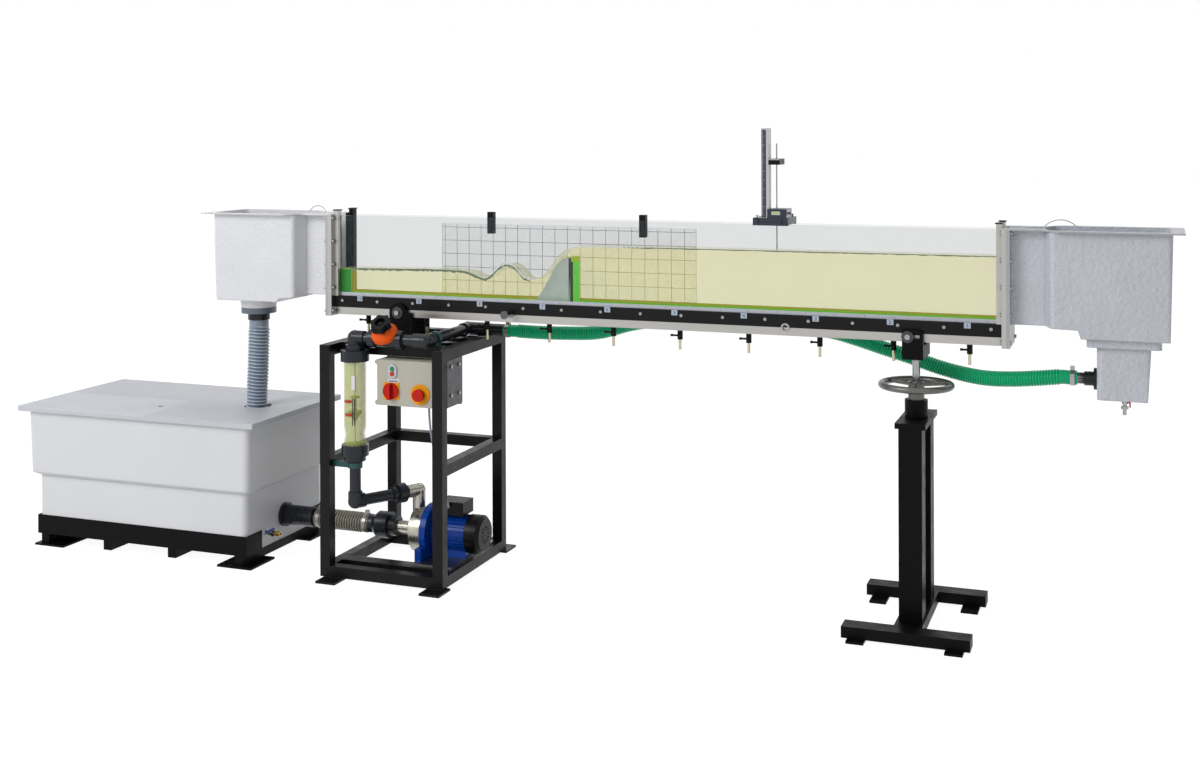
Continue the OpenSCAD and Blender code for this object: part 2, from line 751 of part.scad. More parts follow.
    // clips that hold the pipes to the frame
    difference() {
      union() {
        rod_z(pipe_r + 2 * pipe_wall, meter_x, meter_y, clip_z - pipe_r / 2, clip_z + pipe_r / 2);
        slab(frame_x0 + tube_s, meter_x - pipe_r, meter_y - pipe_r / 2, meter_y + pipe_r / 2,
          clip_z - pipe_r / 2, clip_z + pipe_r / 2);
      }
      rod_z(pipe_r + slip, meter_x, meter_y, clip_z - pipe_r, clip_z + pipe_r);
    }
    difference() {
      union() {
        rod_y(pipe_r + 2 * pipe_wall, branch_x, clip_y - pipe_r / 2, clip_y + pipe_r / 2, pipe_z);
        slab(branch_x - pipe_r, branch_x + pipe_r, clip_y - pipe_r / 2, clip_y + pipe_r / 2,
          frame_top, pipe_z);
      }
      rod_y(pipe_r + slip, branch_x, clip_y - pipe_r, clip_y + pipe_r, pipe_z);
    }
  }
}
beam_back = 88;
clip_y = -half_frame + beam_back + tube_s / 2;

// Diaphragm valve: a bonnet that leans forward, with a wheel on its spindle
valve_seat = 20;
bonnet_h = 42;
valve_stem_r = 8;
valve_wheel_h = 26;
module bonnet_frame() {
  translate([valve_x, meter_y, pipe_z]) rotate([90 - bonnet_tilt, 0, 0]) children();
}
module valve_bonnet() {
  color("orangered") difference() {
    bonnet_frame() {
      translate([0, 0, valve_seat]) cylinder(r = bonnet_r, h = bonnet_h / 3);
      translate([0, 0, valve_seat + bonnet_h / 3]) cylinder(r1 = bonnet_r, r2 = bonnet_r / 2,
        h = 2 * bonnet_h / 3);
    }
    bonnet_frame() translate([0, 0, valve_seat + bonnet_h / 2]) cylinder(r = valve_stem_r + fit,
      h = bonnet_h);
  }
}
module valve_handwheel() {
  color("#202020") bonnet_frame() {
    translate([0, 0, valve_seat + bonnet_h / 2 + over]) cylinder(r = valve_stem_r,
      h = bonnet_h / 2 + slip);
    translate([0, 0, valve_seat + bonnet_h + slip]) difference() {
      union() {
        cylinder(r = 0.85 * valve_wheel_r, h = valve_wheel_h);
        for (i = [0:5])
          rotate([0, 0, 60 * i]) translate([valve_wheel_r - lobe_r, 0, 0]) cylinder(r = lobe_r,
            h = valve_wheel_h);
      }
      translate([0, 0, valve_wheel_h / 2]) cylinder(r = valve_wheel_r / 2, h = valve_wheel_h);
    }
    translate([0, 0, valve_seat + bonnet_h + valve_wheel_h / 2]) cylinder(r = valve_stem_r,
      h = valve_wheel_h / 4);
  }
}
lobe_r = 12;

// Flow meter: a clear tube with a narrow throat, and the float inside it
throat_up = 38;
throat_z = meter_z0 + throat_up;
throat_h = 30;
module meter_wall(r, waist, extra) {
  rod_z(r, meter_x, meter_y, throat_z + throat_h, meter_z1 + extra);
  cone_z(waist, r, meter_x, meter_y, throat_z, throat_z + throat_h);
  cone_z(r, waist, meter_x, meter_y, throat_z - throat_h, throat_z);
  rod_z(r, meter_x, meter_y, meter_z0 - extra, throat_z - throat_h);
}
module rotameter_tube() {
  color("palegoldenrod", 0.5) {
    difference() {
      meter_wall(meter_r, meter_waist_r, 0);
      meter_wall(meter_bore_r, meter_throat_r, over);
    }
    rod_z(guide_r, meter_x, meter_y, meter_z0, meter_z1);
    for (z = [meter_z0, meter_z1 - 2 * guide_r])
      slab(meter_x - meter_bore_r - over, meter_x + meter_bore_r + over, meter_y - guide_r,
        meter_y + guide_r, z, z + 2 * guide_r);
  }
}
float_z = 580;
float_h = 60;
float_stem_r = 5;
guide_r = 2;
module rotameter_float() {
  color("dimgray") difference() {
    union() {
      cone_z(float_stem_r, float_r, meter_x, meter_y, float_z, float_z + float_h / 2);
      rod_z(float_r, meter_x, meter_y, float_z + float_h / 2, float_z + 0.6 * float_h);
      rod_z(float_stem_r, meter_x, meter_y, float_z + 0.6 * float_h, float_z + 1.4 * float_h);
      rod_z(0.7 * float_r, meter_x, meter_y, float_z + 1.4 * float_h, float_z + 1.5 * float_h);
    }
    rod_z(guide_r + fit, meter_x, meter_y, float_z - over, float_z + 2 * float_h);
  }
}

// Pump: a pressed steel volute on a flanged motor, with its rotor in it
adapter_x1 = volute_x1 + adapter_l;
motor_x1 = adapter_x1 + motor_l;
cowl_x1 = motor_x1 + cowl_l;
pump_foot_h = 6;
cavity_r = volute_r - volute_wall;
seal_r = shaft_r + fit;
port_r = 18;
module pump_volute() {
  color("silver") difference() {
    union() {
      rod_x(volute_r, volute_x0 + volute_l / 4, volute_x1, pump_y, pump_z);
      cone_x(volute_r / 2, volute_r, volute_x0, volute_x0 + volute_l / 4, pump_y, pump_z);
      rod_x(1.3 * nipple_r, volute_x0 - volute_wall, volute_x0 + volute_wall, pump_y, pump_z);
      rod_x(nipple_r, union_x1 - 2 * volute_wall, volute_x0, pump_y, pump_z);
      rod_z(port_r + volute_wall, elbow_x, pump_y, pump_z + volute_r - 4 * volute_wall,
        pump_z + volute_r + volute_wall);
    }
    rod_x(cavity_r, volute_x0 + volute_l / 4, volute_x1 - volute_wall, pump_y, pump_z);
    rod_x(nipple_r - volute_wall / 2, union_x1 - 3 * volute_wall, volute_x0 + volute_l / 2, pump_y,
      pump_z);
    rod_x(seal_r, volute_x0, volute_x1 + over, pump_y, pump_z);
    rod_z(port_r, elbow_x, pump_y, pump_z, pump_z + volute_r + 2 * volute_wall);
  }
}
module discharge_elbow() {
  z0 = pump_z + volute_r + volute_wall;
  d = unit(union_p - elbow_p);
  color("silver") difference() {
    union() {
      rod_z(port_r + volute_wall, elbow_x, pump_y, z0, low_z);
      translate(elbow_p) sphere(r = 1.04 * (port_r + volute_wall));
      rod_to(port_r + volute_wall, elbow_p, union_p);
    }
    rod_z(port_r, elbow_x, pump_y, z0 - over, low_z);
    translate(elbow_p) sphere(r = port_r + over);
    rod_to(port_r, elbow_p, union_p + over * d);
  }
}
module pump_adapter() {
  color("mediumblue") difference() {
    union() {
      rod_x(adapter_r, volute_x1, adapter_x1, pump_y, pump_z);
      slab(volute_x1, adapter_x1, pump_y - adapter_foot, pump_y + adapter_foot, plate_top,
        plate_top + adapter_foot_h);
    }
    rod_x(seal_r, volute_x1 - over, adapter_x1 + over, pump_y, pump_z);
    slab(volute_x1 - over, adapter_x1 + over, -2 * adapter_r, 2 * adapter_r, 0, plate_top);
  }
}
pump_foot_top = foot_t + tube_s;
plate_top = pump_foot_top + pump_foot_h;
adapter_foot = 130;
adapter_foot_h = 46;
module motor_housing() {
  bore_r = motor_r - fin_h - volute_wall;
  color("blue") difference() {
    union() {
      rod_x(motor_r - fin_h, adapter_x1, motor_x1, pump_y, pump_z);
      translate([adapter_x1, pump_y, pump_z]) for (i = [0:fins - 1])
        rotate([360 * (i + 0.5) / fins, 0, 0])
          translate([0, -fin_h / 5, motor_r - 2 * fin_h]) cube([motor_l, fin_h / 2.5, 2 * fin_h]);
      slab(adapter_x1, motor_x1 - fin_h, pump_y - motor_r / 2, pump_y + motor_r / 2, plate_top,
        pump_z - motor_r / 2);
    }
    rod_x(bore_r, adapter_x1 + 2 * volute_wall, motor_x1 - 2 * volute_wall, pump_y, pump_z);
    rod_x(seal_r, adapter_x1 - over, motor_x1 + over, pump_y, pump_z);
  }
}
grille_r = 5;
module fan_cowl() {
  wall = 2;
  color("#202020") difference() {
    union() {
      rod_x(cowl_r, motor_x1, cowl_x1 - 2 * volute_wall, pump_y, pump_z);
      cone_x(cowl_r, cowl_r - 2 * volute_wall, cowl_x1 - 2 * volute_wall, cowl_x1, pump_y, pump_z);
    }
    rod_x(cowl_r - wall, motor_x1 - over, cowl_x1 - 2 * volute_wall, pump_y, pump_z);
    for (ring_r = [2 * grille_r + fin_h, 4 * grille_r + fin_h])
      for (i = [0:11])
        rotate([0, 0, 0]) translate([cowl_x1 - 4 * volute_wall, pump_y + ring_r * cos(30 * i),
          pump_z + ring_r * sin(30 * i)])
          rotate([0, 90, 0]) cylinder(r = grille_r * ring_r / (4 * grille_r + fin_h) - over,
            h = 5 * volute_wall);
  }
}
box_x0 = adapter_x1 + term_in;
term_l = 104;
term_w = 88;
term_h = 50;
term_neck = 4;
term_z = pump_z + motor_r + term_neck;
module terminal_box() {
  color("#181818") {
    slab(box_x0, box_x0 + term_l, pump_y - term_w / 2, pump_y + term_w / 2, term_z, term_z + term_h);
    slab(box_x0 + term_l / 4, box_x0 + 3 * term_l / 4, pump_y - term_w / 4, pump_y + term_w / 4,
      pump_z + motor_r, term_z);
  }
}
plate_ys = [-159, 215];
module pump_plate() {
  color("lightslategray") slab(volute_x1, motor_x1 - fin_h, plate_ys[0], plate_ys[1], pump_foot_top,
    plate_top);
}
module pump_rotor() {
  color("silver") {
    rod_x(shaft_r, volute_x0 + volute_l / 2, cowl_x1 - 5 * volute_wall, pump_y, pump_z);
    rod_x(cavity_r - volute_wall, volute_x0 + volute_l / 3, volute_x0 + 2 * volute_l / 3, pump_y,
      pump_z);
    rod_x(motor_r - fin_h - 2 * volute_wall, adapter_x1 + 5 * volute_wall,
      motor_x1 - 5 * volute_wall, pump_y, pump_z);
    rod_x(cowl_r - 2 * volute_wall, motor_x1 + volute_wall, motor_x1 + 3 * volute_wall, pump_y, pump_z);
  }
}

// Control box with its switches, and the cable down to the motor
ctl_gap = 5;
ctl_x1 = frame_x1 - tube_s - ctl_gap;
ctl_x0 = ctl_x1 - box_l;
ctl_y0 = -232;
ctl_y1 = ctl_y0 + box_d;
ctl_z1 = frame_top - box_drop;
ctl_z0 = ctl_z1 - box_h;
lug_r = 9;
estop_in = 64;
estop_up = 47;
switch_in = 59;
switch_up = 54;
button_in = 65;
button_drop = 14;
estop_x = ctl_x1 - estop_in;
estop_z = ctl_z0 + estop_up;
switch_x = ctl_x0 + switch_in;
switch_z = ctl_z0 + switch_up;
button_x = ctl_x0 + button_in;
button_top = ctl_z1 - button_drop;
button_h = 50;
button_w = 32;
bezel_t = 6;
key_r = 8.4;
plunger_r = 8;
plate_h = 3;
module ctl_rod(r, x, z, out0, out1) {
  rod_y(r, x, ctl_y0 - out1, ctl_y0 - out0, z);
}
module control_box() {
  color("#b4b09e") difference() {
    union() {
      slab(ctl_x0, ctl_x1, ctl_y0, ctl_y1, ctl_z0, ctl_z1);
      for (x = [ctl_x0, ctl_x1 - lug_r]) for (z = [ctl_z0 + lug_r, ctl_z1 - lug_r])
        rod_y(lug_r, x, ctl_y0, ctl_y0 + 2 * lug_r, z);
      ctl_rod(estop_disc_r, estop_x, estop_z, 0, plate_h);
      slab(switch_x - switch_r, switch_x + switch_r, ctl_y0 - plate_h, ctl_y0, switch_z - switch_r,
        switch_z + switch_r);
      slab(button_x - button_w / 2, button_x + button_w / 2, ctl_y0 - bezel_t, ctl_y0,
        button_top - button_h + button_w / 2, button_top - button_w / 2);
      ctl_rod(button_w / 2, button_x, button_top - button_w / 2, 0, bezel_t);
      ctl_rod(button_w / 2, button_x, button_top - button_h + button_w / 2, 0, bezel_t);
    }
    ctl_rod(plunger_r + fit, estop_x, estop_z, -4 * plunger_r, over + plate_h);
    ctl_rod(plunger_r + fit, switch_x, switch_z, -4 * plunger_r, over + plate_h);
    for (z = key_zs) ctl_rod(key_r + fit, button_x, z, -3 * plunger_r, bezel_t + over);
  }
}
key_zs = [button_top - button_w / 2, button_top - button_h + button_w / 2];
press = 4;
module key(z) {
  ctl_rod(key_r, button_x, z, -2 * plunger_r, bezel_t + press);
}
module start_button() { color("seagreen") key(key_zs[0]); }
module stop_button() { color("crimson") key(key_zs[1]); }
module estop_button() {
  color("red") {
    ctl_rod(plunger_r, estop_x, estop_z, -3 * plunger_r, plate_h + 3 * press);
    ctl_rod(estop_r, estop_x, estop_z, plate_h + 2 * press, plate_h + 5 * press);
  }
}
module main_switch_knob() {
  grip_w = 12;
  color("red") {
    ctl_rod(plunger_r, switch_x, switch_z, -3 * plunger_r, plate_h + slip);
    ctl_rod(switch_r - over, switch_x, switch_z, plate_h + slip, plate_h + 2 * press);
    slab(switch_x - grip_w / 2, switch_x + grip_w / 2, ctl_y0 - plate_h - 6 * press,
      ctl_y0 - plate_h - 2 * press, switch_z - switch_r + 2 * over, switch_z + switch_r - 2 * over);
  }
}
cable_r = 4;
cable_route = [[-410, -170, 643], [-410, -170, 620], [-408, -166, 560], [-403, -150, 480], [-398,
  -125, 400],
  [-394, -95, 330], [-390, -75, 290], [-388, -64, 262], [-388, -60, 244], [-388, -56, 244], [-388,
    -52, 244]];
module motor_cable() {
  color("lightsteelblue") ribbed_tube(smooth_route(cable_route, 20), cable_r, cable_r, cable_r / 3,
    [1, 0, 0], 1, 3);
}

// Welded pump frame of square tube, with the plate that carries the control box
bearing_beam = 60;
pump_beams = [[-185, -125], [190, 230]];
frame_foot_in = 55;
frame_foot_out = 15;
bracket_t = 4;
bracket_drop = 209;
bracket_w = 125;
screw_r = 7;
module frame_rect(z) {
  both_sides() slab(frame_x0, frame_x1, half_frame - tube_s, half_frame, z, z + tube_s);
  for (x = [frame_x0, frame_x1 - tube_s]) slab(x, x + tube_s, -half_frame, half_frame, z, z + tube_s);
}
module pump_frame() {
  color("#2b2b2d") {
    for (x = [frame_x0, frame_x1 - tube_s]) both_sides()
      slab(x, x + tube_s, half_frame - tube_s, half_frame, foot_t, frame_top);
    frame_rect(foot_t);
    for (z = [mid_rail_z - tube_s, frame_top - tube_s]) {
      for (x = [frame_x0, frame_x1 - tube_s]) slab(x, x + tube_s, -half_frame, half_frame, z,
        z + tube_s);
      slab(frame_x0, frame_x1, half_frame - tube_s, half_frame, z, z + tube_s);
    }
    for (y = [-half_frame + beam_back, -bearing_beam - tube_s / 2, bearing_beam - tube_s / 2])
      slab(frame_x0, frame_x1, y, y + tube_s, frame_top - tube_s, frame_top);
    for (q = pump_beams) slab(frame_x0, frame_x1, q[0], q[1], foot_t, foot_t + tube_s);
    for (x = [frame_x0 + frame_foot_in, frame_x1 + frame_foot_out - frame_foot_l / 2]) both_sides()
      foot_plate(x, frame_foot_l, half_frame + frame_foot_over, frame_foot_w);
    slab(frame_x1 - bracket_t, frame_x1, -half_frame + tube_s, -half_frame + tube_s + bracket_w,
      frame_top - bracket_drop, frame_top - tube_s);
    slab(ctl_x0, frame_x1, ctl_y1, ctl_y1 + bracket_t, ctl_z0, frame_top - tube_s);
    for (y = [-half_frame + 1.7 * tube_s,
      -half_frame + 3.3 * tube_s]) for (z = [frame_top - 1.6 * tube_s, frame_top - 4.2 * tube_s])
      rod_x(screw_r, frame_x1, frame_x1 + screw_r, y, z);
  }
}
module pivot_bearing() {
  x0 = pivot_x - pivot_fork_in;
  cheek_x = x0 + pivot_fork_l;
  color("#202020") {
    difference() {
      union() {
        slab(x0, cheek_x, -fork_gap - cheek_t, fork_gap + cheek_t, frame_top, frame_top + pivot_foot_h);
        both_sides() {
          slab(x0, cheek_x, fork_gap, fork_gap + cheek_t, frame_top, pivot_z);
          rod_y(pivot_x - x0, pivot_x, fork_gap, fork_gap + cheek_t, pivot_z);
        }
      }
      rod_y(pivot_r, pivot_x, -2 * fork_gap, 2 * fork_gap, pivot_z);
    }
  }
  color("silver") {
    rod_y(pivot_r, pivot_x, -fork_gap - cheek_t, fork_gap + cheek_t, pivot_z);
    both_sides() {
      rod_y(washer_r, pivot_x, fork_gap + cheek_t, fork_gap + cheek_t + washer_t, pivot_z);
      rod_y(1.5 * pivot_r, pivot_x, fork_gap + cheek_t + washer_t,
        fork_gap + cheek_t + 3 * washer_t, pivot_z);
    }
  }
}

// Stand with the screw jack
foot_hole_r = 6;
foot_hole_in = 28;
stand_foot_dx = 155;
stand_foot_y = (beam_gap + beam_w) / 2 + foot_hole_in;
// A foot plate with one hole, beside the beam or post that stands on it
module foot_plate(x, l, y1, w) {
  inset = foot_hole_in / 2;
  difference() {
    slab(x - l / 2, x + l / 2, y1 - w, y1, 0, foot_t);
    rod_z(foot_hole_r, x, y1 - inset, -over, foot_t + over);
  }
}
plate_z = stand_top - top_plate_t;
seat_z = stand_top + housing_h;
module stand_frame() {
  y_col = column_gap / 2;
  beam_z = foot_t + beam_h;
  color("#242424") {
    difference() {
      slab(spindle_x - top_plate_l / 2, spindle_x + top_plate_l / 2, -top_plate_w / 2,
        top_plate_w / 2, plate_z, stand_top);
      rod_z(spindle_r + 4 * slip, spindle_x, 0, plate_z - over, stand_top + over);
    }
    both_sides() {
      slab(spindle_x - column_s / 2, spindle_x + column_s / 2, y_col, y_col + column_s, beam_z,
        plate_z);
      slab(spindle_x - beam_l / 2, spindle_x + beam_l / 2, (beam_gap - beam_w) / 2,
        (beam_gap + beam_w) / 2, foot_t, beam_z);
      for (s = [-1, 1]) foot_plate(spindle_x + s * stand_foot_dx, stand_foot_l, stand_foot_y,
        stand_foot_w);
    }
    slab(spindle_x - tie_w / 2, spindle_x + tie_w / 2, -(beam_gap - beam_w) / 2,
      (beam_gap - beam_w) / 2, foot_t, beam_z);
  }
}
module bearing_housing() {
  color("#202020") difference() {
    rod_z(housing_r, spindle_x, 0, stand_top, seat_z);
    rod_z(spindle_r + fit, spindle_x, 0, stand_top - over, seat_z + over);
  }
}
hub_screw_r = 4;
module stand_handwheel() {
  ring_r = wheel_r - wheel_rim_r;
  hub_top = wheel_z + wheel_rim_r;
  color("#808080") difference() {
    union() {
      rod_z(wheel_hub_r, spindle_x, 0, seat_z + slip, hub_top);
      translate([spindle_x, 0, wheel_z]) {
        rotate_extrude() translate([ring_r, 0]) circle(wheel_rim_r);
        for (i = [0:spokes - 1]) rotate([0, 0, 30 + 360 * i / spokes]) rotate([0, 90,
          0]) cylinder(r = spoke_r, h = ring_r);
      }
      for (i = [0:3]) translate([spindle_x, 0, hub_top]) rotate([0, 0, 45 + 90 * i])
        translate([wheel_hub_r - 1.5 * hub_screw_r, 0, 0]) cylinder(r = hub_screw_r, h = hub_screw_r);
    }
    rod_z(spindle_r + fit, spindle_x, 0, seat_z - over, hub_top + over);
  }
}
slot_play = 3;
fork_base_h = 45;
module jack_spindle() {
  x0 = spindle_x - jack_fork_l / 2;
  x1 = x0 + jack_fork_l;
  z0 = pivot_z - jack_fork_drop;
  z1 = pivot_z + jack_fork_rise;
  slot_x = pin_x - pivot_r - slot_play;
  half_slot = pivot_r + slip;
  color("#202020") difference() {
    union() {
      slab(x0, x1, -fork_gap - cheek_t, fork_gap + cheek_t, z0, z0 + fork_base_h);
      both_sides() {
        slab(x0, x1 - fork_round, fork_gap, fork_gap + cheek_t, z0, z1);
        slab(x0, x1, fork_gap, fork_gap + cheek_t, z0, z1 - fork_round);
        rod_y(fork_round, x1 - fork_round, fork_gap, fork_gap + cheek_t, z1 - fork_round);
      }
      rod_z(spindle_neck_r, spindle_x, 0, z0 - spindle_neck_h, z0);
      rod_z(spindle_r, spindle_x, 0, z0 - spindle_neck_h - spindle_l, z0 - spindle_neck_h);
    }
    slab(slot_x, slot_x + slot_l, -2 * fork_gap, 2 * fork_gap, pivot_z - half_slot,
      pivot_z + half_slot);
  }
}

// Channel floor: a folded steel box, wide at its foot, on which the panes stand
tap_pitch = 250;
taps = 10;
function tap_x(i) = flume_x + (taps / 2 - i + 0.5) * tap_pitch;
tap_stem_r = 5;
tap_bore_r = 2;
module bed_outline(s) {
  polygon([[-half_foot + s, foot_z + s], [half_foot - s, foot_z + s], [half_foot - s, rail_z - s],
    [half_in - s, rail_z - s], [half_in - s, bed_z - s], [-half_in + s, bed_z - s],
    [-half_in + s, rail_z - s], [-half_foot + s, rail_z - s]]);
}
module channel_bed() {
  color("silver") difference() {
    along_x(end_l, end_r) difference() {
      bed_outline(0);
      bed_outline(sheet_t);
    }
    for (x = [pivot_x, pin_x]) rod_y(pivot_r + fit, x, -half_foot - over, half_foot + over, pivot_z);
    for (i = [1:taps]) rod_z(tap_stem_r, tap_x(i), 0, foot_z - over, bed_z + over);
  }
}
screw_up = 4;
screw_z = (rail_top + rail_z) / 2 + screw_up;
function rail_screw_x(i) = flume_x + (i - (rail_screws - 1) / 2) * rail_pitch;
module side_rails() {
  color("#262626") difference() {
    both_sides() slab(end_l, end_r, half_glass, half_rail, rail_z, rail_top);
    for (i = [0:rail_screws - 1]) rod_y(rail_shank_r + slip, rail_screw_x(i), -half_rail - over,
      half_rail + over, screw_z);
    rod_y(lift_r + slip, lift_x, -half_rail - over, half_rail + over, lift_z);
    rod_y(lift_r + slip, bush_x, -half_rail - over, half_rail + over, rail_z);
  }
}
module side_panes() {
  color("lightcyan", 0.3) both_sides() slab(end_l + post_l, end_r - post_l, half_in, half_glass,
    rail_z, pane_top);
}
module channel_outline() {
  polygon([[-half_flange, flange_z], [half_flange, flange_z], [half_flange, flange_top], [half_in,
    flange_top],
    [half_in, bed_z], [-half_in, bed_z], [-half_in, flange_top], [-half_flange, flange_top]]);
}
function bolt_z(i) = flange_top - bolt_top - i * bolt_pitch;
module flange_holes(x0, x1) {
  for (y = [-bolt_y, bolt_y]) for (i = [0:flange_bolts_n - 1]) rod_x(flange_bolt_r + slip, x0, x1,
    y, bolt_z(i));
}
module end_frame(x, s) {
  xp = s > 0 ? x : x - plate_t;
  xq = s > 0 ? x - post_l : x;
  difference() {
    along_x(xp, xp + plate_t) channel_outline();
    flange_holes(xp - over, xp + plate_t + over);
  }
  both_sides() {
    slab(xq, xq + post_l, half_in, half_in + post_w, rail_top, pane_top + post_rise);
    slab(xq, xq + post_l, half_in, half_glass, rail_z, rail_top);
    slab(xq - cap_over, xq + post_l + cap_over, half_in - cap_over, half_in + post_w + cap_over,
      pane_top + post_rise, pane_top + post_rise + cap_t);
  }
}
module end_frames() {
  color("silver") {
    end_frame(end_l, -1);
    end_frame(end_r, 1);
  }
}

// Moulded end vessels. u runs out from the flange face, and both are the same mould but for the floor
inlet_floor_shares = [[0, 0], [0.262, 0], [0.439, 0.08], [0.457, 1]];
outlet_floor_shares = [[0, 0], [0.224, 0], [0.233, 0.24], [0.399, 0.5], [0.428, 1]];
inlet_draft = 9;
outlet_draft = 18;
module tub_plan(w) {
  a = neck_half - w;
  b = tub_half - w;
  offset(r = tub_round, $fn = 24) offset(delta = -tub_round) polygon([[-2 * tub_round, -a], [neck_l,
    -a],
    [neck_l + flare_l, -b], [tub_l - w, -b], [tub_l - w, b], [neck_l + flare_l, b], [neck_l, a],
      [-2 * tub_round, a]]);
}
module tub_space(shares, draft, w) {
  fall = tub_drop - neck_drop;
  floor_points = [for (q = shares) [q[0] * tub_l, bed_z - neck_drop - q[1] * fall + w]];
  start = w > 0 ? -over : 0;
  intersection() {
    translate([0, 0, tub_z - over]) linear_extrude(flange_top - tub_z + 2 * over + w) tub_plan(w);
    along_y(-2 * tub_half, 2 * tub_half) polygon(concat([[start, flange_top + w]], [[start,
      floor_points[0].y]],
      floor_points, [[tub_l - draft - w, tub_z + w], [tub_l - w, flange_top + w]]));
  }
}
module rim_plan() {
  polygon([[0, -half_flange], [neck_l, -half_flange], [neck_l + 2 * flare_l, -rim_half], [rim_l,
    -rim_half],
    [rim_l, rim_half], [neck_l + 2 * flare_l, rim_half], [neck_l, half_flange], [0, half_flange]]);
}
module tub(shares, draft) {
  difference() {
    union() {
      tub_space(shares, draft, 0);
      translate([0, 0, flange_top - rim_t]) linear_extrude(rim_t) rim_plan();
      along_x(0, flange_t) channel_outline();
      children();
    }
    tub_space(shares, draft, tub_wall);
    flange_holes(-over, flange_t + over);
  }
}
module inlet_element() {
  u0 = sump_u - sump_l / 2;
  u1 = sump_u + sump_l / 2;
  z_in = sump_z + tub_wall;
  color("#b8bbc4") translate([face_r, 0, 0]) difference() {
    tub(inlet_floor_shares, inlet_draft) {
      translate([sump_u, 0, tub_z - collar_h]) slab_round(collar_l, collar_w, collar_h + tub_wall,
        tub_round, $fn = 24);
      intersection() {
        translate([sump_u, 0, sump_z]) slab_round(sump_l, sump_w, sump_h, tub_round, $fn = 24);
        along_y(-sump_w, sump_w) polygon([[u0, sump_z], [u1 - sump_draft, sump_z], [u1, tub_z], [u0,
          tub_z]]);
      }
    }
    intersection() {
      translate([sump_u, 0, z_in]) slab_round(sump_l - 2 * tub_wall, sump_w - 2 * tub_wall,
        sump_h + 2 * tub_wall, tub_round - tub_wall, $fn = 24);
      along_y(-sump_w, sump_w) polygon([[u0 + tub_wall, z_in], [u1 - sump_draft - tub_wall, z_in],
        [u1 - tub_wall, tub_z],
        [u1 - tub_wall, bed_z], [u0 + tub_wall, bed_z]]);
    }
    rod_x(supply_spigot_bore_r, u0 - over, u0 + 2 * tub_wall, 0, inlet_z);
    rod_z(cock_bore_r, sump_u, 0, sump_z - over, z_in + over);
  }
}
module outlet_element() {
  color("white") translate([face_l, 0, 0]) mirror([1, 0, 0]) difference() {
    tub(outlet_floor_shares, outlet_draft) cone_z(socket_foot_r, socket_r, outlet_u, 0, socket_z,
      tub_z + tub_wall / 2);
    rod_z(socket_bore_r, outlet_u, 0, socket_z - over, tub_z + 2 * tub_wall);
  }
}

// Fittings on the vessels: hose tail and clamp, drain cock, outlet ring and tail, bails, straightener
inlet_z = bed_z - inlet_drop;
inlet_flange_r = 35;
inlet_tail_x = sump_x - sump_l / 2;
inlet_cock_h = 55;
inlet_cock_z = sump_z - inlet_cock_h;
stem_drop = 12;
tail_flange_t = 11;
tail_boss_l = 40;
bail_r = 1.5;
bail_u = 157;
bail_y = 99;
bail_turn = 22;
bail_half = 51;
bail_rise = 20;
mesh_u = 48;
bail_bend = (bail_half * bail_half + bail_rise * bail_rise) / (2 * bail_rise);
bail_a = asin(bail_half / bail_bend);
mesh_t = 8;
cock_key_r = 6;
module bail(x, turn) {
  translate([x, bail_y, flange_top + bail_rise + bail_r * cos(bail_a) - bail_bend]) rotate([90, 0, turn])
    rotate_extrude(angle = 2 * bail_a, start = 90 - bail_a) translate([bail_bend, 0]) circle(bail_r);
}
module straightener(x) {
  slab(x - mesh_t / 2, x + mesh_t / 2, -half_in + slip, half_in - slip, bed_z, pane_top);
}
module end_fittings() {
  color("#202020") {
    difference() {
      union() {
        rod_x(inlet_flange_r, inlet_tail_x - tail_flange_t, inlet_tail_x, 0, inlet_z);
        rod_x(0.65 * inlet_flange_r, inlet_tail_x - tail_boss_l, inlet_tail_x, 0, inlet_z);
        rod_x(0.5 * inlet_flange_r, supply_end.x + slip, inlet_tail_x, 0, inlet_z);
        rod_x(supply_spigot_r, supply_end.x - 2 * clamp_w, inlet_tail_x, 0, inlet_z);
      }
      rod_x(supply_spigot_bore_r, supply_end.x - 3 * clamp_w, inlet_tail_x + over, 0, inlet_z);
    }
    difference() {
      union() {
        rod_z(drain_spigot_r, outlet_x, 0, tail_z - 2 * clamp_w, ring_z);
        rod_z(drain_r, outlet_x, 0, tail_z + slip, ring_z);
      }
      rod_z(drain_spigot_r - pipe_wall, outlet_x, 0, tail_z - 3 * clamp_w, ring_z + over);
    }
  }
  color("silver") {
    clamp_ring(supply_root_r + slip, supply_end.x - clamp_w, 0, inlet_z);
    difference() {
      union() {
        rod_z(cock_r, sump_x, 0, sump_z - 2.2 * cock_r, sump_z);
        rod_z(cock_key_r, sump_x, 0, inlet_cock_z, sump_z);
        rod_z(1.3 * cock_r, sump_x, 0, sump_z - 4 * cock_r, sump_z - 3 * cock_r);
        rod_x(cock_stem_r - over, sump_x, sump_x + 2 * cock_r, 0, sump_z - stem_drop);
      }
      rod_z(cock_bore_r - over, sump_x, 0, inlet_cock_z - over, sump_z + over);
    }
    bail(face_l - bail_u, -bail_turn);
    bail(face_r + bail_u, bail_turn);
    straightener(face_r + mesh_u);
  }
  color("slategray") difference() {
    rod_z(socket_foot_r + over, outlet_x, 0, ring_z, socket_z);
    rod_z(socket_bore_r, outlet_x, 0, ring_z - over, socket_z + over);
  }
}
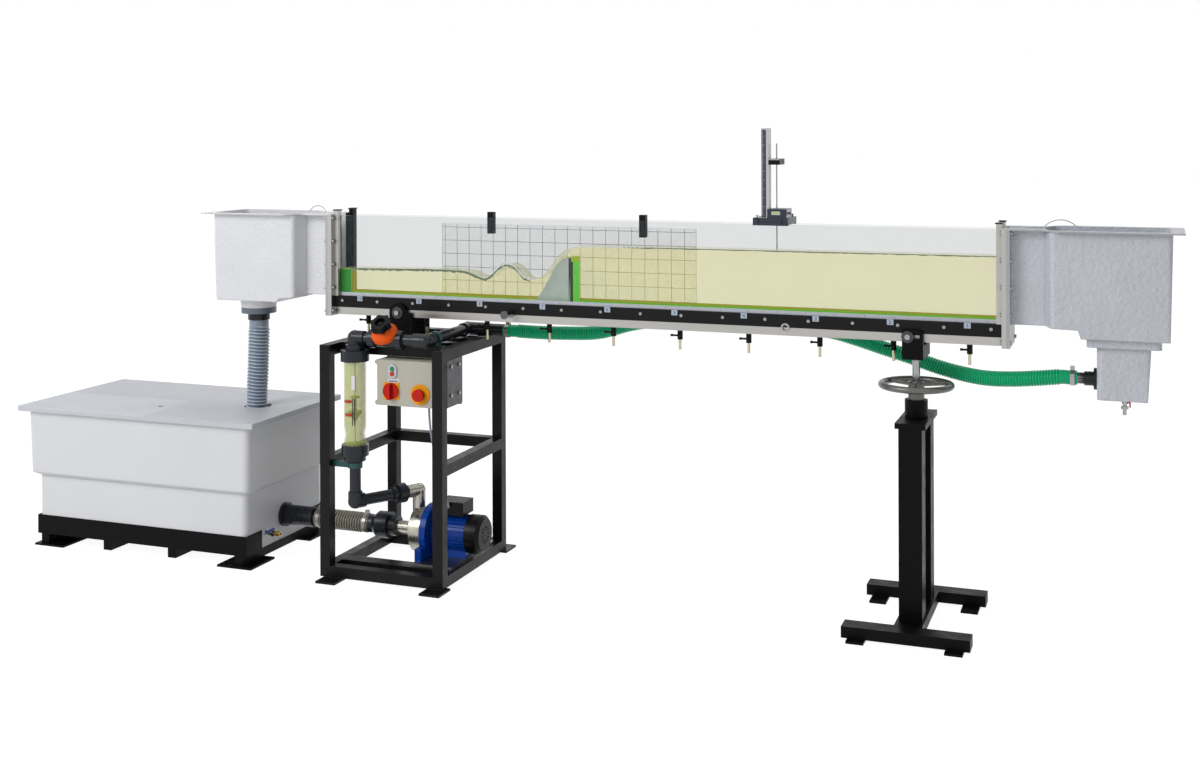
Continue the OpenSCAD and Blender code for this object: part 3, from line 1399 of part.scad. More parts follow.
module inlet_drain_lever() {
  x0 = sump_x + cock_r + slip;
  color("red") difference() {
    union() {
      rod_x(cock_key_r, x0, x0 + cock_r, 0, sump_z - stem_drop);
      slab(x0 + cock_r / 2, x0 + cock_r, -cock_key_r, cock_key_r, sump_z - stem_drop - 3 * cock_key_r,
        sump_z - stem_drop);
    }
    rod_x(cock_stem_r - over + fit, x0 - over, x0 + 2 * cock_r, 0, sump_z - stem_drop);
  }
}

// Free hoses on hand-picked routes
supply_bore_r = 20;
supply_spigot_r = supply_bore_r * flat - slip;
supply_spigot_bore_r = 15;
drain_bore_r = 0.9 * drain_root_r;
drain_spigot_r = drain_bore_r * flat - slip;
supply_route = [[-233, 110, 885], [-207, 110, 885], [-180, 110, 885], [-100, 115, 883],
  [0, 120, 884], [140, 122, 893], [260, 122, 927], [350, 122, 943], [480, 122, 946],
  [680, 122, 946], [880, 122, 946], [1000, 122, 938], [1092, 122, 917], [1190, 121, 889],
  [1290, 118, 860], [1367, 110, 833], [1452, 92, 814], [1537, 62, 812], [1620, 32, 821],
  [1701, 10, 832], [1780, 0, 843], [1806, 0, 843], [1832, 0, 843]];
supply_end = supply_route[len(supply_route) - 1];
supply_pitch = 8;
module supply_hose() {
  color("mediumseagreen") ribbed_tube(smooth_route(supply_route, supply_pitch), supply_r, supply_root_r,
    supply_bore_r, [0, 0, 1], 7, 12);
}
drain_route = [[-1247, 0, 897], [-1247, 0, 870], [-1247, 0, 850], [-1252, 0, 700], [-1257, 0, 600],
  [-1257, 0, 500], [-1257, 0, 400], [-1257, 0, 300]];
drain_pitch = 6.7;
module outlet_hose() {
  color("lightslategray") ribbed_tube(smooth_route(drain_route, drain_pitch), drain_r, drain_root_r,
    drain_bore_r, [0, 1, 0], 6, 12);
}

// Pressure taps under the channel, each with its own cock
tap_drop = 24;
tap_neck_h = 8;
tap_seat_t = 4;
tap_handle_z = foot_z - tap_drop;
tap_body_r = 9.5;
tap_body_h = 32;
tap_tip_h = 36;
tap_nozzle_r = 5;
module tap_valves() {
  for (i = [1:taps]) {
    x = tap_x(i);
    z0 = foot_z - tap_body_h - tap_neck_h;
    color("#303030") difference() {
      union() {
        rod_z(tap_stem_r, x, 0, foot_z - tap_body_h, bed_z);
        rod_z(0.7 * tap_body_r, x, 0, foot_z - tap_neck_h, foot_z);
        rod_z(tap_body_r, x, 0, z0, foot_z - tap_neck_h);
        rod_y(tap_stem_r, x, -tap_body_r - tap_seat_t, 0, tap_handle_z);
        rod_y(tap_bore_r, x, -tap_body_r - 2 * tap_seat_t, 0, tap_handle_z);
      }
      rod_z(tap_bore_r, x, 0, z0 - over, bed_z + over);
    }
    color("gold") difference() {
      rod_z(tap_nozzle_r, x, 0, z0 - tap_tip_h, z0);
      rod_z(tap_bore_r, x, 0, z0 - tap_tip_h - over, z0 + over);
    }
  }
}
tap_lever_l = 22;
tap_lever_r = 3.5;
module tap_handle(i) {
  x = tap_x(i);
  y1 = -tap_body_r - tap_seat_t - slip;
  color("#202020") difference() {
    union() {
      rod_y(tap_stem_r, x, y1 - 2 * tap_lever_r, y1, tap_handle_z);
      rod_x(tap_lever_r, x - tap_lever_l, x, y1 - tap_lever_r, tap_handle_z);
      rod_x(tap_lever_r + over, x - tap_lever_l - 2 * tap_lever_r, x - tap_lever_l,
        y1 - tap_lever_r, tap_handle_z);
    }
    rod_y(tap_bore_r + fit, x, y1 - 3 * tap_lever_r, y1 + over, tap_handle_z);
  }
}

// Level gauge: a carriage on the top of the panes, and a slider with the probe on its column
probe_x = flume_x + gauge_ahead;
gauge_over = 54;
gauge_x1 = probe_x + gauge_over;
gauge_x0 = gauge_x1 - gauge_l;
gauge_z = pane_top + slip;
half_gauge = 64;
gauge_top = gauge_z + gauge_t;
lip = 3;
block_h = 31;
block_in = 5;
block_y = 14;
column_in = 29;
column_x = gauge_x0 + column_in;
column_w = 26;
column_y = -58;
column_d = 36;
column_top = gauge_top + column_h;
slider_drop = 125;
slider_z = column_top - slider_drop;
slider_h = 20;
slider_l = 40;
hook_l = 13;
probe_over = 72;
probe_tip = 12;
knob_r = 6;
knob_ins = [14, 97];
module gauge_carriage() {
  block_x1 = gauge_x1 - block_in;
  block_y0 = -half_gauge + lip - over;
  block_z1 = gauge_top + block_h;
  color("#2c3038") {
    difference() {
      union() {
        slab(gauge_x0, gauge_x1, -half_gauge, half_gauge, gauge_z, gauge_top);
        both_sides() slab(gauge_x0, gauge_x1, half_glass + slip, half_gauge, gauge_z - lip, gauge_z);
        slab(column_x + column_w, block_x1, block_y0, block_y, gauge_top, block_z1);
        slab(column_x + column_w - block_in, block_x1, block_y0, column_y, gauge_top, block_z1);
      }
      rod_z(probe_r + slip, probe_x, 0, gauge_z - over, block_z1 + over);
    }
    for (q = [[gauge_x0 + 2 * knob_r, -half_gauge + 2 * knob_r], [gauge_x1 - 2 * knob_r, half_gauge
      - 2 * knob_r]]) {
      rod_z(knob_r / 2, q.x, q.y, gauge_top, gauge_top + knob_r);
      rod_z(knob_r, q.x, q.y, gauge_top + knob_r, gauge_top + 1.5 * knob_r);
    }
    for (u = knob_ins) {
      rod_y(knob_r, gauge_x0 + u, -half_gauge - 1.3 * knob_r, -half_gauge, gauge_z + gauge_t / 2);
    }
    rod_x(knob_r / 2, block_x1, block_x1 + knob_r, -half_gauge / 2, gauge_top + block_h / 2);
    rod_x(knob_r, block_x1 + knob_r, block_x1 + 1.5 * knob_r, -half_gauge / 2, gauge_top + block_h / 2);
  }
  color("silver") slab(column_x, column_x + column_w, column_y, column_y + column_d, gauge_top,
    column_top - cap_t);
  color("#181818") slab(column_x, column_x + column_w, column_y, column_y + column_d,
    column_top - cap_t, column_top);
}
module gauge_slider() {
  tip_z = slider_z + probe_over - probe_l;
  x0 = column_x + column_w;
  y1 = column_y + column_d;
  color("#202020") difference() {
    union() {
      slab(x0 + slip, x0 + slider_l, column_y - knob_r, knob_r + over, slider_z, slider_z + slider_h);
      slab(x0 - hook_l, x0 + slider_l, y1 + slip, y1 + knob_r, slider_z, slider_z + slider_h);
    }
    rod_z(probe_r, probe_x, 0, slider_z - over, slider_z + slider_h + over);
  }
  color("silver") {
    rod_z(probe_r, probe_x, 0, tip_z + probe_tip, tip_z + probe_l);
    cone_z(probe_r / 3, probe_r, probe_x, 0, tip_z, tip_z + probe_tip);
  }
}

// Weir with a smooth back, its sealing plate, and the low plate at the outlet
crest_x = flume_x - weir_back;
crest_w = 8;
seal_t = 5;
weir_steps = 16;
half_weir = half_in - slip;
module ogee_weir() {
  back = [for (i = [0:weir_steps]) let(t = i / weir_steps)
    [crest_x - t * weir_l, bed_z + weir_h * (1 + cos(180 * t)) / 2 + (t == 1 ? 0 : slip)]];
  color("darkseagreen") along_y(-half_weir, half_weir)
    polygon(concat([[crest_x + crest_w, bed_z], [crest_x + crest_w, bed_z + weir_h]], back));
}
module weir_seals() {
  x1 = crest_x + crest_w;
  color("#182018") slab(x1, x1 + seal_t, -half_weir, half_weir, bed_z, bed_z + weir_h);
  color("limegreen") slab(x1 + seal_t, x1 + 2 * seal_t, -half_weir, half_weir, bed_z, bed_z + weir_h);
  color("green") slab(end_l + post_l / 2, end_l + post_l / 2 + seal_t, -half_weir, half_weir, bed_z,
    bed_z + outlet_weir_h);
}

// Fasteners on the channel: rail screws, flange bolts, lifting pin, lifting tube and hose clips
lift_x = pivot_x + lift_ahead;
bush_x = pin_x - bush_back;
lift_r = 15;
lift_l = 60;
lift_z = rail_z + lift_r / 3;
bush_t = 2;
clip_w = 20;
module hose_clip(p) {
  r = supply_r + 3 * slip;
  difference() {
    union() {
      rod_x(r + clamp_t, p.x - clip_w / 2, p.x + clip_w / 2, p.y, p.z);
      slab(p.x - clip_w / 2, p.x + clip_w / 2, half_foot, p.y, foot_z + sheet_t, foot_z + 2 * sheet_t);
    }
    rod_x(r, p.x - clip_w, p.x + clip_w, p.y, p.z);
  }
}
module flume_bolts() {
  color("silver") {
    for (i = [0:rail_screws - 1]) both_sides() {
      x = rail_screw_x(i);
      rod_y(rail_shank_r, x, half_glass, half_rail, screw_z);
      rod_y(rail_screw_r, x, half_rail, half_rail + rail_screw_h, screw_z);
    }
    for (side = [-1, 1]) {
      x = side > 0 ? end_r : face_l - flange_t;
      w = plate_t + flange_t;
      for (y = [-bolt_y, bolt_y]) for (i = [0:flange_bolts_n - 1]) {
        rod_x(flange_bolt_r, x, x + w, y, bolt_z(i));
        rod_x(flange_head_r, x - flange_head_h, x, y, bolt_z(i));
        rod_x(flange_head_r, x + w, x + w + flange_head_h, y, bolt_z(i));
      }
    }
    y0 = fork_gap + cheek_t + slip;
    rod_y(pivot_r, pin_x, -y0, y0, pivot_z);
    both_sides() {
      rod_y(0.9 * washer_r, pin_x, y0, y0 + washer_t, pivot_z);
      rod_y(1.5 * pivot_r, pin_x, y0 + washer_t, y0 + 2 * washer_t, pivot_z);
      rod_y(lift_r, lift_x, half_foot, half_foot + lift_l, lift_z);
      difference() {
        rod_y(lift_r, bush_x, half_foot, half_rail + bush_t, rail_z);
        rod_y(0.6 * lift_r, bush_x, half_foot - over, half_rail + bush_t + over, rail_z);
      }
    }
    for (i = [8, 10]) hose_clip(supply_route[i]);
  }
}

// Clamps that hold the grid sheet on the far pane
clamp_xs = [flume_x - clamp_back, flume_x - clamp_near];
clamp_l = 25;
clamp_over = 18;
clamp_h = 81;
jaw = 3;
module glass_clamps() {
  z1 = pane_top + clamp_over;
  color("#202020") for (x = clamp_xs) {
    difference() {
      slab(x - clamp_l / 2, x + clamp_l / 2, half_in - jaw, half_glass + 3 * jaw, z1 - clamp_h, z1);
      slab(x - clamp_l, x + clamp_l, half_in, half_glass, z1 - clamp_h - over, pane_top);
    }
    rod_y(knob_r, x, half_glass + 3 * jaw, half_glass + 8 * jaw, pane_top - 3 * knob_r);
  }
}

tank_body();
tank_base();
tank_lid();
tank_hatch();
tank_drain_valve();
tank_drain_lever();
pvc_pipework();
suction_hose();
hose_clamps();
pump_volute();
pump_adapter();
motor_housing();
fan_cowl();
terminal_box();
pump_plate();
pump_rotor();
discharge_elbow();
rotameter_tube();
rotameter_float();
valve_bonnet();
valve_handwheel();
control_box();
main_switch_knob();
estop_button();
start_button();
stop_button();
motor_cable();
pump_frame();
pivot_bearing();
stand_frame();
bearing_housing();
stand_handwheel();
jack_spindle();
channel_bed();
side_rails();
side_panes();
end_frames();
inlet_element();
outlet_element();
end_fittings();
inlet_drain_lever();
outlet_hose();
supply_hose();
tap_valves();
tap_handle(1);  // tap_handle_1
tap_handle(2);  // tap_handle_2
tap_handle(3);  // tap_handle_3
tap_handle(4);  // tap_handle_4
tap_handle(5);  // tap_handle_5
tap_handle(6);  // tap_handle_6
tap_handle(7);  // tap_handle_7
tap_handle(8);  // tap_handle_8
tap_handle(9);  // tap_handle_9
tap_handle(10);  // tap_handle_10
gauge_carriage();
gauge_slider();
ogee_weir();
weir_seals();
flume_bolts();
glass_clamps();
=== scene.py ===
import bpy
import math
import random
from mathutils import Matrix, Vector


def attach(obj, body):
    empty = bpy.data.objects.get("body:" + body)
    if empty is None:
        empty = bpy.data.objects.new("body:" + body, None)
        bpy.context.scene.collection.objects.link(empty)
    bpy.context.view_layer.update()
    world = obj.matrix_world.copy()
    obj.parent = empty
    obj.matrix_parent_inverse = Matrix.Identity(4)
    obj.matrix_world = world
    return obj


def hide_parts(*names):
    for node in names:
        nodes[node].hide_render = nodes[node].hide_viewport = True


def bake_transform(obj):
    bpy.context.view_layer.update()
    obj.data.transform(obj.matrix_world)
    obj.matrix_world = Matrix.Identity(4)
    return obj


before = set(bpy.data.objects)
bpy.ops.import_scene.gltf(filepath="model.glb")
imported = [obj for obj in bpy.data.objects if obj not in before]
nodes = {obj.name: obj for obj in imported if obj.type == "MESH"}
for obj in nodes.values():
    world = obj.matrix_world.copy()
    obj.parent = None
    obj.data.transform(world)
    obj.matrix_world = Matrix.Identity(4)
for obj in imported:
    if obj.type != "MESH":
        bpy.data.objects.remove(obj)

scene = bpy.context.scene
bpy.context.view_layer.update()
random.seed(7)
MM = 0.001


def point(*xyz):
    """A point given in millimetres."""
    return Vector(xyz) * MM


# Camera, from a fit to the photograph
PHOTO_W, PHOTO_H = 1200, 775
FOCAL_PX = 1473.01
AXIS_ROW = 124.42
SENSOR = 36
EYE = (2.0615, -4.9757, 1.6685)
TURN, PITCH, ROLL = math.radians(20.563), -0.0011, 0.0033

cam_data = bpy.data.cameras.new("camera")
cam = bpy.data.objects.new("camera", cam_data)
scene.collection.objects.link(cam)
cam.location = EYE
cam.rotation_euler = (math.radians(90) + PITCH, ROLL, TURN)
cam_data.sensor_width = SENSOR
cam_data.lens = FOCAL_PX * SENSOR / PHOTO_W
cam_data.shift_y = -(PHOTO_H / 2 - AXIS_ROW) / PHOTO_W
cam_data.clip_end = 60
scene.camera = cam


# Shader helpers
def linear(r, g, b):
    """A colour with channels from 0 to 255, as the linear values that a shader takes."""
    return tuple(((c / 255 + 0.055) / 1.055) ** 2.4 if c > 10 else c / 255 / 12.92 for c in (r, g, b))


class Net:
    """Short ways to add and join the shader nodes of one material or world."""

    def __init__(self, owner):
        owner.use_nodes = True
        self.tree = owner.node_tree
        self.bsdf = self.tree.nodes.get("Principled BSDF")
        self.coord = self.new("TexCoord")

    def new(self, kind, **props):
        node = self.tree.nodes.new("ShaderNode" + kind)
        for key, value in props.items():
            setattr(node, key, value)
        return node

    def link(self, start, end):
        self.tree.links.new(start, end)

    def put(self, socket, value):
        """Links a socket, or sets a number or a colour."""
        if isinstance(value, bpy.types.NodeSocket):
            self.link(value, socket)
        elif isinstance(value, (tuple, list)) and len(value) == 3:
            socket.default_value = (*value, 1)
        else:
            socket.default_value = value

    def noise(self, scale, detail=3, stretch=(1, 1, 1), rough=0.5):
        mapping = self.new("Mapping")
        mapping.inputs["Scale"].default_value = stretch
        self.link(self.coord.outputs["Object"], mapping.inputs["Vector"])
        node = self.new("TexNoise")
        node.inputs["Scale"].default_value = scale
        node.inputs["Detail"].default_value = detail
        node.inputs["Roughness"].default_value = rough
        self.link(mapping.outputs["Vector"], node.inputs["Vector"])
        return node.outputs["Fac"]

    def span(self, value, low, high, start=0.3, end=0.7):
        """Maps values from start to end onto low to high."""
        node = self.new("MapRange")
        self.put(node.inputs["From Min"], start)
        self.put(node.inputs["From Max"], end)
        self.put(node.inputs["To Min"], low)
        self.put(node.inputs["To Max"], high)
        self.link(value, node.inputs["Value"])
        return node.outputs["Result"]

    def mix(self, share, first, second):
        node = self.new("Mix", data_type="RGBA")
        self.put(node.inputs[0], share)
        self.put(node.inputs[6], first)
        self.put(node.inputs[7], second)
        return node.outputs[2]

    def math(self, operation, first, second):
        node = self.new("Math", operation=operation)
        self.put(node.inputs[0], first)
        self.put(node.inputs[1], second)
        return node.outputs[0]

    def bump(self, height, strength, distance):
        """Adds a bump on top of the normal that the shader has already."""
        node = self.new("Bump")
        node.inputs["Strength"].default_value = strength
        node.inputs["Distance"].default_value = distance
        self.link(height, node.inputs["Height"])
        normal = self.bsdf.inputs["Normal"]
        if normal.is_linked:
            self.link(normal.links[0].from_socket, node.inputs["Normal"])
        self.link(node.outputs["Normal"], normal)

    def glow(self, colour):
        """A painted glow: a faint light of its own, which brightens a piece that is no lamp."""
        self.bsdf.inputs["Emission Color"].default_value = (*colour, 1.0)
        self.bsdf.inputs["Emission Strength"].default_value = 1.0

    def seen_directly(self):
        """1 for rays from the camera, a mirror or glass, and 0 for light that falls on the object."""
        rays = self.new("LightPath").outputs
        mirrored = self.math("MAXIMUM", rays["Is Camera Ray"], rays["Is Glossy Ray"])
        return self.math("MAXIMUM", mirrored, rays["Is Transmission Ray"])


# Materials, each kept under its name
materials = {}
BRUSH_X = (0.02, 1, 1)
BRUSH_Z = (1, 1, 0.02)


def surface(name, rgb, rough=0.5, metal=0.0, vary=0.08, scale=9.0, stretch=(1, 1, 1), grain=900.0, grit=0.15,
            rough_vary=0.08, coat=0.0, spec=None, alpha=None, grime=0.0, wave=0.0, wave_scale=60.0, edge=0.0,
            specks=None, glow=None):
    """A painted, moulded or metal surface with uneven colour, uneven gloss and a fine grain.

    grime darkens spots, wave and specks give hand-laid resin its lumps, and edge softens corners, in metres.
    """
    materials[name] = bpy.data.materials.new(name)
    net = Net(materials[name])
    shader = net.bsdf.inputs
    base = linear(*rgb)
    dark = tuple(c * (1 - vary) for c in base)
    light = tuple(min(1.0, c * (1 + vary)) for c in base)
    colour = net.mix(net.span(net.noise(scale, 4, stretch, 0.6), 0, 1), dark, light)
    if grime:
        spots = net.noise(scale * 5, 6, stretch, 0.7)
        colour = net.mix(net.span(spots, 0, grime, 0.55, 0.8), colour, tuple(c * 0.55 for c in base))
    if specks:
        dots = net.noise(wave_scale * 2.2, 3, (1, 1, 1), 0.6)
        colour = net.mix(net.span(dots, 0, 0.6, 0.6, 0.72), colour, linear(*specks))
    net.put(shader["Base Color"], colour)
    shader["Metallic"].default_value = metal
    gloss = net.noise(scale * 3, 3, stretch)
    net.put(shader["Roughness"], net.span(gloss, rough - rough_vary, rough + rough_vary))
    if coat:
        shader["Coat Weight"].default_value = coat
        shader["Coat Roughness"].default_value = 0.08
    if spec is not None:
        shader["Specular IOR Level"].default_value = spec
    if alpha is not None:
        shader["Alpha"].default_value = alpha
    # painted glow: emission that brightens the piece, which is no lamp
    if glow:
        net.glow(glow)
    if edge:
        soft = net.new("Bevel", samples=4)
        soft.inputs["Radius"].default_value = edge
        net.link(soft.outputs["Normal"], shader["Normal"])
    net.bump(net.noise(grain, 2, stretch), grit, 0.0002)
    if wave:
        net.bump(net.noise(wave_scale, 3), wave, 0.005)


def see_through(name, rgb, alpha, rough=0.05, ripple=0.0, glow=None):
    """Glass, clear plastic or water, with a slightly uneven tint."""
    materials[name] = bpy.data.materials.new(name)
    net = Net(materials[name])
    shader = net.bsdf.inputs
    base = linear(*rgb)
    cloud = net.span(net.noise(5, 3), 0, 1)
    net.put(shader["Base Color"], net.mix(cloud, tuple(c * 0.95 for c in base), base))
    net.put(shader["Roughness"], net.span(net.noise(9), rough, rough + 0.05))
    shader["Alpha"].default_value = alpha
    # painted glow: emission that brightens the piece, which is no lamp
    if glow:
        net.glow(glow)
    if ripple:
        net.bump(net.noise(20, 2), ripple, 0.002)


def hose_wall(name, rgb, light, spec=0.5):
    """A ribbed hose: a painted highlight lightens the crests of its ribs, and a painted sheen lightens it
    towards its outline.
    """
    materials[name] = bpy.data.materials.new(name)
    net = Net(materials[name])
    shader = net.bsdf.inputs
    # light and crest hold the colour of the painted highlight
    base, crest = linear(*rgb), linear(*light)
    # painted sheen: the colour turns lighter towards the hose's outline as the camera sees it
    painted_sheen = net.new("LayerWeight")
    painted_sheen.inputs["Blend"].default_value = 0.35
    colour = net.mix(net.span(net.noise(25, 4), 0, 0.6), base, tuple(c * 0.75 for c in base))
    colour = net.mix(net.math("MULTIPLY", painted_sheen.outputs["Facing"], 0.3), colour, crest)
    # painted highlight: the convex crests of the ribs take the lighter colour
    height = net.new("NewGeometry").outputs["Pointiness"]
    colour = net.mix(net.span(height, 0.0, 0.85, 0.5, 0.56), colour, crest)
    net.put(shader["Base Color"], colour)
    net.put(shader["Roughness"], net.span(net.noise(40), 0.22, 0.36))
    shader["Specular IOR Level"].default_value = spec
    net.bump(net.noise(700, 2), 0.12, 0.0003)


# Tank and vessels
surface("tank_white", (221, 222, 225), 0.42, vary=0.02, scale=3, grain=500, grit=0.12, edge=0.012)
surface("tank_lid", (199, 201, 207), vary=0.03, scale=4, grain=1400, grit=0.35, grime=0.06)
surface("tank_hatch", (208, 211, 219), vary=0.02, scale=5, grain=1400, grit=0.3)
surface("vessel_grey", (203, 206, 214), 0.34, vary=0.05, scale=6, coat=0.3, grain=260, grit=0.5,
        wave=1.0, wave_scale=75, edge=0.006, specks=(222, 226, 236))
surface("outlet_white", (226, 227, 231), 0.4, vary=0.03, scale=6, coat=0.2, grain=240, grit=0.3,
        wave=0.6, wave_scale=80, edge=0.006, specks=(240, 241, 244))
surface("vessel_rim", (178, 180, 184), 0.35, vary=0.05, scale=20, grain=500, grit=0.3)

# Paint and anodised metal
surface("black_paint", (6, 6, 7), 0.42, vary=0.15, scale=7, spec=0.09, grain=1500, grit=0.3, grime=0.2,
        edge=0.002)
surface("frame_paint", (13, 13, 15), 0.36, vary=0.12, scale=6, spec=0.17, grain=1500, grit=0.3, edge=0.002)
surface("bracket_grey", (74, 76, 80), 0.4, scale=12, grain=1200, grit=0.3)
surface("rail_anodised", (16, 16, 17), 0.4, vary=0.1, scale=5, stretch=BRUSH_X, spec=0.16, grain=600,
        grit=0.3)
surface("motor_blue", (6, 62, 152), 0.25, vary=0.15, scale=30, spec=0.2, grain=700, grit=0.2)
surface("gauge_dark", (44, 50, 62), 0.34, metal=0.4, scale=30, stretch=BRUSH_X, grit=0.25)

# Bare metal
surface("stainless", (178, 176, 172), 0.34, metal=1.0, vary=0.12, scale=14, stretch=BRUSH_X, grain=700,
        grit=0.45, rough_vary=0.1)
surface("post_steel", (172, 171, 168), 0.36, metal=1.0, vary=0.12, scale=14, stretch=BRUSH_Z, grain=700,
        grit=0.4, rough_vary=0.1)
surface("bright_steel", (158, 159, 161), 0.2, metal=1.0, scale=60, grit=0.1, rough_vary=0.06)
surface("satin_steel", (140, 139, 136), 0.33, metal=1.0, vary=0.14, scale=25, grit=0.3,
        rough_vary=0.12, grime=0.2)
surface("pressed_steel", (176, 172, 162), 0.3, metal=1.0, vary=0.14, scale=18, grain=500, grit=0.25,
        rough_vary=0.12, grime=0.15)
surface("wheel_cast", (106, 105, 103), 0.3, metal=0.6, vary=0.1, scale=25, grain=500, grit=0.25)
surface("brass", (196, 160, 84), 0.28, metal=1.0, vary=0.12, scale=70, grit=0.2)
surface("nozzle", (196, 188, 160), 0.3, metal=1.0, vary=0.12, scale=90, grit=0.2)
surface("bolt_steel", (150, 150, 150), 0.3, metal=1.0, vary=0.15, scale=90, grit=0.2)
surface("bolt_dark", (70, 70, 72), 0.35, metal=0.8, vary=0.2, scale=90, grit=0.2)
surface("face_grey", (92, 92, 94), 0.3, metal=0.7, vary=0.1, scale=90, grit=0.2)
surface("gauge_end", (150, 150, 152), 0.35, metal=0.8, scale=40, grit=0.3)
surface("column_profile", (186, 187, 192), 0.3, metal=0.55, vary=0.05, scale=30, stretch=BRUSH_Z, grit=0.25)

# Plastic
surface("pipe_grey", (30, 35, 42), 0.26, scale=30, spec=0.3, grain=800, grit=0.12)
surface("pipe_dark", (22, 25, 30), 0.3, vary=0.1, scale=30, spec=0.28, grain=800, grit=0.12)
surface("union_ring", (96, 106, 118), 0.4, vary=0.06, scale=30, grain=800)
surface("clip_teal", (10, 66, 66), 0.42, vary=0.15, scale=60, grit=0.2)
surface("plastic_black", (7, 7, 8), 0.34, vary=0.12, scale=40, spec=0.14, grain=1200, grit=0.25)
surface("bonnet_orange", (236, 88, 6), scale=40, spec=0.25, grit=0.25)
surface("box_beige", (186, 184, 170), 0.48, vary=0.03, scale=12, grain=1100, grit=0.5)
surface("switch_yellow", (240, 158, 6), 0.4, vary=0.05, scale=40, spec=0.25)
surface("switch_red", (190, 16, 4), 0.35, scale=40, spec=0.25)
surface("key_green", (30, 130, 70), 0.35, vary=0.06, scale=40)
surface("key_red", (190, 40, 30), 0.35, vary=0.06, scale=40)
surface("cable_grey", (150, 162, 176), 0.45, vary=0.05, scale=60, grit=0.2)
surface("lever_blue", (16, 76, 168), 0.4, vary=0.12, scale=70, grit=0.3)
surface("lever_red", (186, 36, 20), 0.4, vary=0.1, scale=70, grit=0.3)
surface("float_grey", (56, 58, 58), 0.35, vary=0.1, scale=40, grain=800, grit=0.2)
surface("contact_red", (196, 48, 24), 0.4, scale=60, grit=0.2)
surface("vial_green", (170, 210, 110), 0.15, vary=0.1, scale=90, grit=0.05)
# near-black painted shade for the inside of a bore
surface("hole", (6, 6, 7), 0.6, vary=0.2, scale=90, grit=0.2)

# Weir and seals
surface("weir_clear", (212, 226, 216), 0.25, vary=0.06, scale=12, grain=500, grit=0.08, alpha=0.75)
surface("seal_black", (24, 30, 24), vary=0.12, scale=40, grain=600, grit=0.35)
# the green seals and the green floor carry a painted glow, which keeps their green bright where they lie in
# shade behind the water
surface("seal_green", (84, 190, 52), 0.45, vary=0.12, scale=40, grain=600, grit=0.35, glow=(0.01, 0.2, 0.0))
surface("seal_deep", (14, 120, 24), 0.45, vary=0.15, scale=40, grain=600, grit=0.3, glow=(0.0, 0.09, 0.0))
surface("bed_green", (90, 200, 30), 0.4, vary=0.2, scale=14, grain=600, grit=0.2, glow=(0.04, 0.2, 0.0))

# Print, marks and foam
surface("scale_strip", (206, 210, 219), 0.45, vary=0.04, scale=60)
surface("scale_dark", (52, 54, 62), 0.42, scale=90, grit=0.2)
surface("label_white", (222, 223, 226), 0.45, vary=0.03, scale=60)
surface("label_blue", (176, 190, 208), 0.45, vary=0.04, scale=60)
surface("grid_line", (120, 122, 132), vary=0.15, scale=40, grit=0.1)
surface("ink", (30, 34, 44), vary=0.1, scale=90, grit=0.1)
surface("foam", (244, 246, 244), vary=0.04, scale=60, grit=0.3)
surface("surface_line", (118, 134, 104), 0.3, vary=0.3, scale=30, stretch=BRUSH_X, grain=700, grit=0.1)

# Glass, clear plastic and water
see_through("pane_glass", (96, 108, 116), 0.09)
see_through("pane_edge", (150, 186, 176), 0.75, 0.15)
see_through("meter_clear", (206, 214, 110), 0.36, 0.06)
see_through("grid_sheet", (180, 184, 190), 0.09, 0.35)
# the water's sides and ends and the green floor's boxes carry a painted glow, which brightens them beyond
# what the lamps give
see_through("water_side", (243, 236, 10), 0.22, 0.1, glow=(0.27, 0.215, 0.012))
see_through("water_end", (235, 228, 60), 0.22, 0.1, glow=(0.2, 0.16, 0.012))
see_through("water_top", (190, 205, 130), 0.38, 0.08, ripple=0.3)
see_through("bed_painted_glow", (84, 200, 24), 0.5, 0.2, glow=(0.06, 0.2, 0.0))

# Hoses, each with its colour and the lighter colour of its painted highlight
hose_wall("hose_green", (0, 158, 98), (6, 198, 138), spec=0.22)
hose_wall("hose_grey", (96, 112, 132), (196, 208, 222))
hose_wall("hose_clear", (66, 63, 56), (176, 170, 154))


# Paint on the CAD's nodes
def dress(node, names, choose=None):
    """Gives a node its materials. choose(centre, normal) picks one for each face, in millimetres."""
    mesh = nodes[node].data
    mesh.materials.clear()
    for name in names:
        mesh.materials.append(materials[name])
    if choose:
        for face in mesh.polygons:
            face.material_index = choose(face.center / MM, face.normal)


def radial(centre, first, second, axis):
    """Distance of a point from a line along an axis, through the two other coordinates."""
    a, b = [k for k in range(3) if k != axis]
    return math.hypot(centre[a] - first, centre[b] - second)


PLAIN = {
    "tank_body": "tank_white",
    "tank_base": "black_paint",
    "tank_lid": "tank_lid",
    "tank_hatch": "tank_hatch",
    "tank_drain_lever": "lever_blue",
    "hose_clamps": "satin_steel",
    "pump_volute": "pressed_steel",
    "discharge_elbow": "pressed_steel",
    "pump_adapter": "motor_blue",
    "motor_housing": "motor_blue",
    "fan_cowl": "plastic_black",
    "terminal_box": "plastic_black",
    "pump_plate": "satin_steel",
    "pump_rotor": "satin_steel",
    "rotameter_float": "float_grey",
    "valve_bonnet": "bonnet_orange",
    "main_switch_knob": "switch_red",
    "estop_button": "switch_red",
    "start_button": "key_green",
    "stop_button": "key_red",
    "stand_frame": "black_paint",
    "bearing_housing": "black_paint",
    "stand_handwheel": "wheel_cast",
    "side_rails": "rail_anodised",
    "inlet_drain_lever": "lever_red",
    "ogee_weir": "weir_clear",
    "glass_clamps": "plastic_black",
}
TAP_COUNT = 10
for i in range(1, TAP_COUNT + 1):
    PLAIN[f"tap_handle_{i}"] = "plastic_black"
for node, name in PLAIN.items():
    dress(node, [name])


